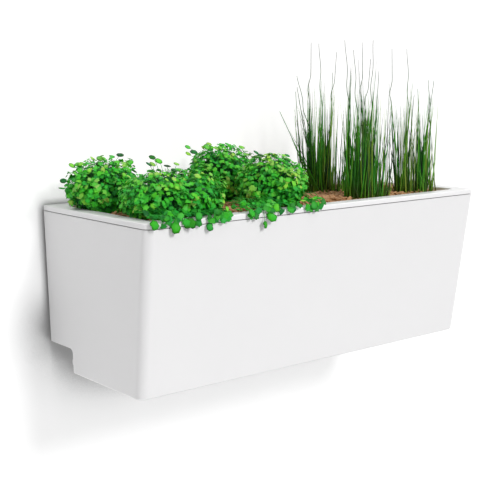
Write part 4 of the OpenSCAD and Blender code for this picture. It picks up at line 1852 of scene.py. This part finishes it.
    def hang(self, clump: Clump, bunch: Bunch, rng: Rng) -> None:
        """Adds the leaves that hang over the rim's front on short stalks, the placed ones first.

        Args:
            clump: The clump.
            bunch: Where the leaves are gathered.
            rng: Source of small differences.
        """
        trails = list(clump.trails)
        for low, high in clump.fringe:
            for _ in range(int((high - low) * self.curtain_density)):
                level, radius = rng.uniform(*self.curtain_levels), rng.uniform(*self.curtain_r)
                trails.append((rng.uniform(low, high), level, radius, rng.uniform(0.2, 0.6)))
        rim = at(self.rim_top)
        for number, (x, level, radius, tint) in enumerate(trails):
            lean = rng.normal(0, 0.004)
            drop = max(self.rim_top + 0.004 - level, 0.0)
            front = self.rim_front - 0.002 - 0.35 * radius
            path = (
                (x + lean, front + 0.026, rim + 0.007),
                (x + 0.5 * lean, front + 0.013, rim + 0.0075),
                (x + 0.2 * lean, front + 0.003, rim + 0.0045),
                (x, front + 0.0015, at(level) + 0.45 * drop),
                (x, front + 0.0006, at(level)),
            )
            self.stem(bunch, path, 0.0006, 0.45)
            facing = np.array([rng.normal(-0.35, 0.25), -1.0, 0.3 + rng.normal(0, 0.2)])
            size = radius * np.array([1.0, rng.uniform(0.8, 0.95), 1.0])
            shape = self.shapes[3 if number < len(clump.trails) else rng.integers(2)]
            spot = np.array([x, front, at(level)])
            bunch.put(shape, spot, facing, any_turn(rng), size, tint)

    def foliage(self, clump: Clump, name: str) -> Obj:
        """Grows all leaves and stalks of a clump.

        Args:
            clump: The clump.
            name: Name of the piece.

        Returns:
            All leaves and stalks as one piece.
        """
        rng = np.random.default_rng(clump.seed)
        bunch = Bunch()
        self.cover(clump, bunch, rng)
        self.coins(clump, bunch, rng)
        self.fringe(clump, bunch, rng)
        self.hang(clump, bunch, rng)
        return bunch.piece(name)

    def make(self) -> list[Obj]:
        """Builds the clumps and lays their finish on them.

        Returns:
            The pieces.
        """
        self.shapes = [
            Shapes.leaf(14, 0.35, 0.2, 0.13, False),
            Shapes.leaf(10, 0.5, 0.33, 0.18, False),
            Shapes.leaf(12, 0.0, 0.03, 0.1, True),
            Shapes.leaf(14, 0.35, 0.11, 0.16, True),
        ]
        self.stalk = Shapes.stalk(3, 4, 0.9, 0.7)
        made = []
        for clump in self.clumps:
            leaves = self.foliage(clump, clump.node + "_leaves")
            heart = self.heart(clump, clump.node + "_heart")
            for piece in (leaves, heart):
                LEAF.lay_on(piece)
                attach(piece, "insert")
            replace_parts(leaves, clump.node)
            made += [leaves, heart]
        return made


class Kink(Enum):
    """How the thin end of a rush wanders, as pairs of height share and offset from its tip."""

    STRAIGHT = ((0.0, 0.0), (1.0, 0.0))
    HOOKED = ((0.0, 0.0), (0.48, -0.0020), (0.62, -0.0026), (0.7, -0.0064), (0.79, -0.0002), (1.0, 0.0))
    SWEPT = ((0.0, 0.0), (0.36, 0.0050), (0.56, 0.0092), (0.72, 0.0026), (0.815, 0.0046), (1.0, 0.0))


@dataclass(frozen=True)
class Stand:
    """One stand of rushes.

    Attributes:
        node: The solid that it stands for.
        x: Its middle across the box.
        y: Its middle in depth.
        seed: Seed of its stems.
        stems: Number of its single stems.
        sheaves: Place of the tip across the box, its level and its kink, for the longest stem of each sheaf.
    """

    node: str
    x: float
    y: float
    seed: int
    stems: int
    sheaves: tuple[tuple[float, float, Kink], ...]


@dataclass
class Rushes:
    """The three stands of rushes on the right of the box, each fanning out from its own middle.

    Attributes:
        ground: Level of the mulch.
        sunk: How far the feet stand below it.
        height: Height of the tallest stem.
        spread: Radius of each stand at its foot.
        fan: How far a stand has widened at its full height.
        radius: Radius of a stem at its foot.
        mates: Number of stems that each sheaf gathers round its longest one.
        shoots: Number of short shoots in each stand.
        wisps: Number of thin pale stems in each stand.
        tones: Tints of the single stems.
        stands: The stands.
        blades: The shapes of single stems, set when the stands are made.
        whip: The shape of a sheaf's longest stem, set when the stands are made.
    """

    ground: float = 0.219
    sunk: float = 0.002
    height: float = 0.230
    spread: float = 0.033
    fan: float = 0.4
    radius: float = 0.0014
    mates: int = 6
    shoots: int = 90
    wisps: int = 30
    tones: tuple[float, ...] = (0.05, 0.14, 0.26, 0.38, 0.48, 0.56, 0.6, 0.8)
    stands: tuple[Stand, ...] = (
        Stand(
            "rush_left", 0.138, -0.097, 31, 78,
            ((0.110, 0.447, Kink.HOOKED), (0.127, 0.4455, Kink.SWEPT), (0.1675, 0.433, Kink.HOOKED),
             (0.0785, 0.381, Kink.STRAIGHT), (0.0815, 0.397, Kink.SWEPT), (0.0735, 0.374, Kink.STRAIGHT),
             (0.0485, 0.345, Kink.STRAIGHT), (0.150, 0.402, Kink.STRAIGHT)),
        ),
        Stand(
            "rush_middle", 0.128, -0.200, 41, 195,
            ((0.0805, 0.4465, Kink.SWEPT), (0.093, 0.433, Kink.SWEPT), (0.1165, 0.444, Kink.HOOKED),
             (0.130, 0.421, Kink.HOOKED), (0.134, 0.4475, Kink.SWEPT), (0.154, 0.404, Kink.STRAIGHT)),
        ),
        Stand(
            "rush_right", 0.232, -0.198, 51, 64,
            ((0.1745, 0.4355, Kink.HOOKED), (0.197, 0.436, Kink.SWEPT), (0.2285, 0.3685, Kink.STRAIGHT),
             (0.238, 0.377, Kink.STRAIGHT), (0.265, 0.3895, Kink.SWEPT), (0.272, 0.3895, Kink.STRAIGHT)),
        ),
    )
    blades: list[Stamp] = field(default_factory=list)
    whip: Stamp | None = None

    @staticmethod
    def path(foot: np.ndarray, tip: np.ndarray, kink: Kink, bow: np.ndarray) -> np.ndarray:
        """Gives the line that a stem follows.

        Args:
            foot: Its foot.
            tip: Its tip.
            kink: How its thin end wanders.
            bow: How far its middle bends aside.

        Returns:
            Points of the line.
        """
        t = np.linspace(0.0, 1.0, 49)
        line = foot + (tip - foot) * t[:, None] + bow * (4 * t * (1 - t))[:, None]
        marks, offsets = zip(*kink.value)
        place = np.interp(t, marks, np.arange(len(marks)))
        step = np.floor(place)
        part = place - step
        smooth = step + part * part * (3 - 2 * part)
        line[:, 0] += np.interp(smooth, np.arange(len(marks)), offsets)
        return line

    def spot(self, rng: Rng) -> np.ndarray:
        """Picks a foot in a stand, as an offset from its middle."""
        turn, out = any_turn(rng), self.spread * math.sqrt(rng.uniform(0.0, 0.9))
        return np.array([out * math.cos(turn), out * math.sin(turn), 0.0])

    def root(self, stand: Stand) -> np.ndarray:
        """Gives the middle of a stand at its feet."""
        return np.array([stand.x, stand.y, at(self.ground) - self.sunk])

    def sheaf(self, stand: Stand, bunch: Bunch, rng: Rng) -> list[np.ndarray]:
        """Grows the sheaves of a stand, whose stems meet part of the way up.

        Args:
            stand: The stand.
            bunch: Where the stems are gathered.
            rng: Source of small differences.

        Returns:
            The foot of each sheaf, as an offset from the stand's middle.
        """
        feet = []
        middle = self.root(stand)
        for tip_x, level, kink in stand.sheaves:
            out = np.clip((tip_x - stand.x) / (1 + self.fan), -0.75 * self.spread, 0.75 * self.spread)
            feet.append(np.array([out, rng.uniform(-0.55, 0.55) * self.spread, 0.0]))
            foot = middle + feet[-1]
            tip = np.array([tip_x, stand.y + rng.normal(0, 0.005), at(level)])
            line = self.path(foot, tip, kink, aside(rng, 0.0008))
            self.grow(bunch, self.whip, line, self.radius * 0.9, rng.uniform(0.25, 0.5))
            meet = line[rng.integers(24, 30)]
            for _ in range(self.mates):
                start = foot + aside(rng, 0.0055)
                rise = (meet - start) * rng.uniform(1.04, 1.5)
                end = start + rise + aside(rng, 0.0028)
                end[2] = min(end[2], tip[2] - 0.02)
                bow = aside(rng, 0.0012)
                stem = self.path(start, end, Kink.STRAIGHT, bow)
                blade = self.blades[rng.integers(len(self.blades))]
                self.grow(bunch, blade, stem, self.radius * rng.uniform(0.75, 1.05), rng.uniform(0.08, 0.8))
        return feet

    def grow(self, bunch: Bunch, blade: Stamp, line: np.ndarray, radius: float, tint: float) -> None:
        """Adds a stem of a shape along a line, with its radius at the foot."""
        share = blade.share * (line[-1][2] - line[0][2]) / self.height
        bunch.add(blade, blade.along(line, radius), tint, share)

    def stand(self, stand: Stand, name: str) -> Obj:
        """Grows one stand.

        Args:
            stand: The stand.
            name: Name of the piece.

        Returns:
            All its stems as one piece.
        """
        rng = np.random.default_rng(stand.seed)
        bunch = Bunch()
        middle = self.root(stand)
        feet = self.sheaf(stand, bunch, rng)
        for count, low, high, thick, pale, tufted in (
            (stand.stems, 0.3, 0.68, 1.0, 0.0, 0.55),
            (self.shoots, 0.06, 0.3, 0.95, 0.1, 0.0),
            (self.wisps, 0.56, 0.82, 0.6, 0.6, 0.5),
        ):
            for _ in range(count):
                off = self.spot(rng)
                if rng.random() < tufted:
                    off = 0.25 * off + 0.95 * feet[rng.integers(len(feet))]
                edge = 1 - 0.2 * (np.linalg.norm(off) / self.spread) ** 2
                height = self.height * edge * rng.uniform(low, high)
                lean = off * (1 + self.fan * height / self.height)
                tip = middle + lean + (rng.normal(0, 0.004), rng.normal(0, 0.004), height)
                bow = aside(rng, 0.0016)
                line = self.path(middle + off, tip, Kink.STRAIGHT, bow)
                tint = pale + (1 - pale) * (rng.choice(self.tones) + rng.normal(0, 0.04))
                blade = self.blades[rng.integers(len(self.blades))]
                self.grow(bunch, blade, line, self.radius * thick * rng.uniform(0.65, 1.0), tint)
        return bunch.piece(name)

    def make(self) -> list[Obj]:
        """Builds the stands and lays their finish on them.

        Returns:
            The pieces.
        """
        self.blades = [Shapes.stalk(4, 14, 0.72, 0.1), Shapes.stalk(4, 14, 0.58, 0.08)]
        self.whip = Shapes.stalk(4, 32, 0.62, 0.34)
        made = []
        for stand in self.stands:
            piece = self.stand(stand, stand.node + "_stems")
            STEM.lay_on(piece)
            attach(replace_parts(piece, stand.node), "insert")
            made.append(piece)
        return made


@dataclass
class Fittings:
    """The fittings whose solids stay as they are and only get their finish.

    Attributes:
        nodes: The objects of the solids by name.
        finishes: The finish of each solid.
    """

    nodes: dict[str, Obj]
    finishes: dict[str, Finish] = field(
        default_factory=lambda: {
            "wall_rail": ZINC,
            "wall_bumpers": RUBBER,
            "drain_spigot": FITTING,
            "spigot_seal": RUBBER,
            "spigot_nut": FITTING,
            "overflow_standpipe": FITTING,
            "drain_bung": RUBBER,
            "soil_fill": SOIL,
            "filler_tube": FITTING,
            "filler_collar": LINER_WHITE,
            "lid_hinge_pin": PIN_STEEL,
            "filler_lid": LINER_WHITE,
            "lid_seal": RUBBER,
            "indicator_tube": FITTING,
            "rod_guide": FITTING,
            "indicator_cap": CLEAR,
            "level_float": FOAM,
            "float_rod": FITTING,
            "level_marker": RED,
        }
    )

    def make(self) -> list[Obj]:
        """Lays the finishes on the solids.

        Returns:
            The pieces.
        """
        for name, finish in self.finishes.items():
            finish.lay_on(self.nodes[name])
        return [self.nodes[name] for name in self.finishes]


@dataclass
class Studio:
    """The pale wall and floor, the light and the camera.

    Attributes:
        eye: Place of the camera.
        aim: Point that it looks at.
        roll: Its roll in degrees.
        lens: Its focal length in millimetres on a sensor 36 mm wide.
        wall: Half width, lowest and highest point of the wall.
        window: Left, right, lowest and highest edge of the opening in the wall behind the box.
        setback: How far the wall lies behind the part's own wall plane.
        floor: Height of the floor.
        sky: Strength of the light from below, from the sides, from halfway up and from above.
        sun: Where the main light comes from, in degrees to the right and upwards.
        sun_size: Its apparent size in degrees.
        sun_power: Its strength.
        glow: Share of the wall's white that doesn't depend on the light.
        paint: White of the wall as it throws light on the box.
        matt: White of the wall, besides the glow, as it is seen.
        gap_reach: How far the dark in narrow gaps reaches.
        shade_reach: How far the shade under the box reaches.
        shade_way: Where the light that it keeps off comes from.
        shade_levels: Levels at which the shade starts and is full.
        shade_depth: How fast it darkens.
        floor_paint: White of the floor as it throws light on the box.
        floor_glow: What is added to that white as it is seen.
    """

    eye: Point = (-0.96613, -1.27780, 0.25394)
    aim: Point = (0.02847, -0.04705, -0.00762)
    roll: float = -0.34
    lens: float = 74.80
    wall: Point = (4.0, -0.9, 3.1)
    window: Four = (-0.25, 0.285, at(0.080), at(0.205))
    setback: float = 0.0006
    floor: float = -0.9
    sky: Four = (0.29, 0.32, 0.45, 1.0)
    sun: Pair = (11.0, 30.0)
    sun_size: float = 12.0
    sun_power: float = 1.84
    glow: float = 0.6
    paint: float = 0.85
    matt: float = 0.5
    gap_reach: float = 0.012
    shade_reach: float = 0.15
    shade_way: Point = (-0.25, -0.4, 0.88)
    shade_levels: Pair = (0.13, -0.03)
    shade_depth: float = 25.0
    floor_paint: float = 0.66
    floor_glow: float = 0.2

    def camera(self) -> None:
        """Sets up the camera."""
        data = bpy.data.cameras.new("camera")
        data.lens = self.lens
        data.sensor_width = 36.0
        camera = bpy.data.objects.new("camera", data)
        bpy.context.scene.collection.objects.link(camera)
        way = Vector(self.aim) - Vector(self.eye)
        turn = way.to_track_quat("-Z", "Y").to_matrix() @ Matrix.Rotation(math.radians(self.roll), 3, "Z")
        camera.matrix_world = Matrix.Translation(self.eye) @ turn.to_4x4()
        bpy.context.scene.camera = camera

    def backdrop(self) -> None:
        """Puts up the wall, open behind the box so that light reaches the box's back, and lays the floor."""
        half, low, high = self.wall
        Bench.activate(None)
        bpy.ops.mesh.primitive_plane_add(size=1.0, rotation=(math.pi / 2, 0.0, 0.0))
        wall = Bench.adopt("wall")
        left, right, under, over = self.window
        with Bench.editing(wall):
            bpy.ops.mesh.select_all(action="SELECT")
            bpy.ops.transform.resize(value=(2 * half, 1.0, high - low), center_override=(0.0, 0.0, 0.0))
            bpy.ops.transform.translate(value=(0.0, self.setback, (low + high) / 2))
            upright = [((x, 0, 0), (1, 0, 0)) for x in (left, right)]
            level = [((0, 0, z), (0, 0, 1)) for z in (under, over)]
            for spot, way in upright + level:
                bpy.ops.mesh.select_all(action="SELECT")
                bpy.ops.mesh.bisect(plane_co=spot, plane_no=way)
            Bench.pick(wall, Part.FACE, lambda p, n: left < p.x < right and under < p.z < over)
            bpy.ops.mesh.delete(type="FACE")
        Bench.activate(None)
        bpy.ops.mesh.primitive_plane_add(size=14.0, location=(0.0, 0.0, self.floor))
        ground = Bench.adopt("floor")
        self.paint_wall(wall)
        self.paint_floor(ground)

    def paint_wall(self, wall: Obj) -> None:
        """Paints the wall white, its glow dimmed under the box and in narrow gaps, and clear from behind.

        Args:
            wall: The wall.
        """
        made, board = Board.of_material("wall_paint")
        paint = board.node("ShaderNodeBsdfDiffuse", {}, {"Color": grey(self.paint)})
        matt = board.node("ShaderNodeBsdfDiffuse", {}, {"Color": grey(self.matt)})
        start, full = self.shade_levels
        low = board.node(
            "ShaderNodeMapRange",
            {"interpolation_type": "SMOOTHSTEP"},
            {"Value": board.height(), "From Min": at(start), "From Max": at(full)},
        )
        closed = 1.0 - self.openness(board, {"Distance": self.shade_reach, "Normal": self.shade_way})
        under = 1.0 - closed * closed * closed * low * self.shade_depth
        gap = self.openness(board, {"Distance": self.gap_reach}) * 2.0 - 1.0
        shade = self.held(under) * self.held(gap)
        glow = board.node("ShaderNodeEmission", {}, {"Color": shade, "Strength": self.glow})
        lit = board.node("ShaderNodeAddShader", {}, {0: matt, 1: glow})
        front = board.node("ShaderNodeMixShader", {}, {0: self.seen(board), 1: paint, 2: lit})
        behind = board.node("ShaderNodeNewGeometry", {}, {}, "Backfacing")
        clear = board.node("ShaderNodeBsdfTransparent")
        board.surface(board.node("ShaderNodeMixShader", {}, {0: behind, 1: front, 2: clear}))
        wall.data.materials.append(made)

    @staticmethod
    def openness(board: Board, inputs: Inputs) -> Wire:
        """Gives how open a point is, from 0 to 1."""
        return board.node("ShaderNodeAmbientOcclusion", {"samples": 16}, inputs, "AO")

    @staticmethod
    def held(value: Wire) -> Wire:
        """Holds a value between 0 and 1."""
        return value.board.node("ShaderNodeClamp", {}, {"Value": value})

    @staticmethod
    def seen(board: Board) -> Wire:
        """Tells the rays of the camera, of gloss and through glass from others.

        Args:
            board: The board.

        Returns:
            1 for those rays and 0 for others.
        """
        rays = [
            board.node("ShaderNodeLightPath", {}, {}, name)
            for name in ("Is Camera Ray", "Is Glossy Ray", "Is Transmission Ray")
        ]
        return board.sum_up("MAXIMUM", board.sum_up("MAXIMUM", rays[0], rays[1]), rays[2])

    def paint_floor(self, ground: Obj) -> None:
        """Paints the floor so that it looks pale and throws little light up.

        Args:
            ground: The floor.
        """
        made, board = Board.of_material("floor_paint")
        paint = board.node("ShaderNodeBsdfDiffuse", {}, {"Color": grey(self.floor_paint)})
        pale = board.node("ShaderNodeEmission", {}, {"Color": grey(1.0), "Strength": self.floor_glow})
        lit = board.node("ShaderNodeAddShader", {}, {0: paint, 1: pale})
        board.surface(board.node("ShaderNodeMixShader", {}, {0: self.seen(board), 1: paint, 2: lit}))
        ground.data.materials.append(made)

    def light(self) -> None:
        """Sets the light all round, brighter from above, and the broad main light."""
        world = bpy.data.worlds.new("studio")
        world.use_nodes = True
        board = Board(world.node_tree)
        way = board.node("ShaderNodeTexCoord", output="Generated")
        rise = board.node("ShaderNodeSeparateXYZ", {}, {"Vector": way}, "Z")
        stops = [(place, grey(v)) for place, v in zip((0.0, 0.5, 0.75, 1.0), self.sky)]
        shade = board.ramp(rise * 0.5 + 0.5, *stops)
        sky = board.node("ShaderNodeBackground", {}, {"Color": shade, "Strength": 1.0})
        white = board.node("ShaderNodeBackground", {}, {"Color": grey(1.0), "Strength": 1.0})
        mixed = board.node("ShaderNodeMixShader", {}, {0: self.seen(board), 1: sky, 2: white})
        board.node("ShaderNodeOutputWorld", {}, {"Surface": mixed})
        bpy.context.scene.world = world
        lamp = bpy.data.lights.new("key", "SUN")
        lamp.angle = math.radians(self.sun_size)
        lamp.energy = self.sun_power
        holder = bpy.data.objects.new("key", lamp)
        bpy.context.scene.collection.objects.link(holder)
        turn, upward = (math.radians(v) for v in self.sun)
        flat = math.cos(upward)
        place = Vector((math.sin(turn) * flat, -math.cos(turn) * flat, math.sin(upward)))
        holder.matrix_world = (-place).to_track_quat("-Z", "Y").to_matrix().to_4x4()

    def make(self) -> None:
        """Sets up the whole studio."""
        bpy.context.scene.view_settings.view_transform = "Standard"
        self.camera()
        self.backdrop()
        self.light()


def main() -> None:
    """Builds the studio and every sub-assembly in order, and notes the sizes."""
    logging.basicConfig(level=logging.INFO, format="%(name)s: %(message)s")
    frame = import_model()
    Studio().make()
    outline = Outline()
    groups = (
        Shell(outline),
        Liner(outline),
        Wicks(outline),
        Mulch(outline),
        Cress(),
        Rushes(),
        Fittings(frame["nodes"]),
    )
    for group in groups:
        for piece in group.make():
            LOG.info("%s: %s, %d faces", type(group).__name__, piece.name, len(piece.data.polygons))
    Bench.activate(None)


if __name__ == "__main__":
    main()
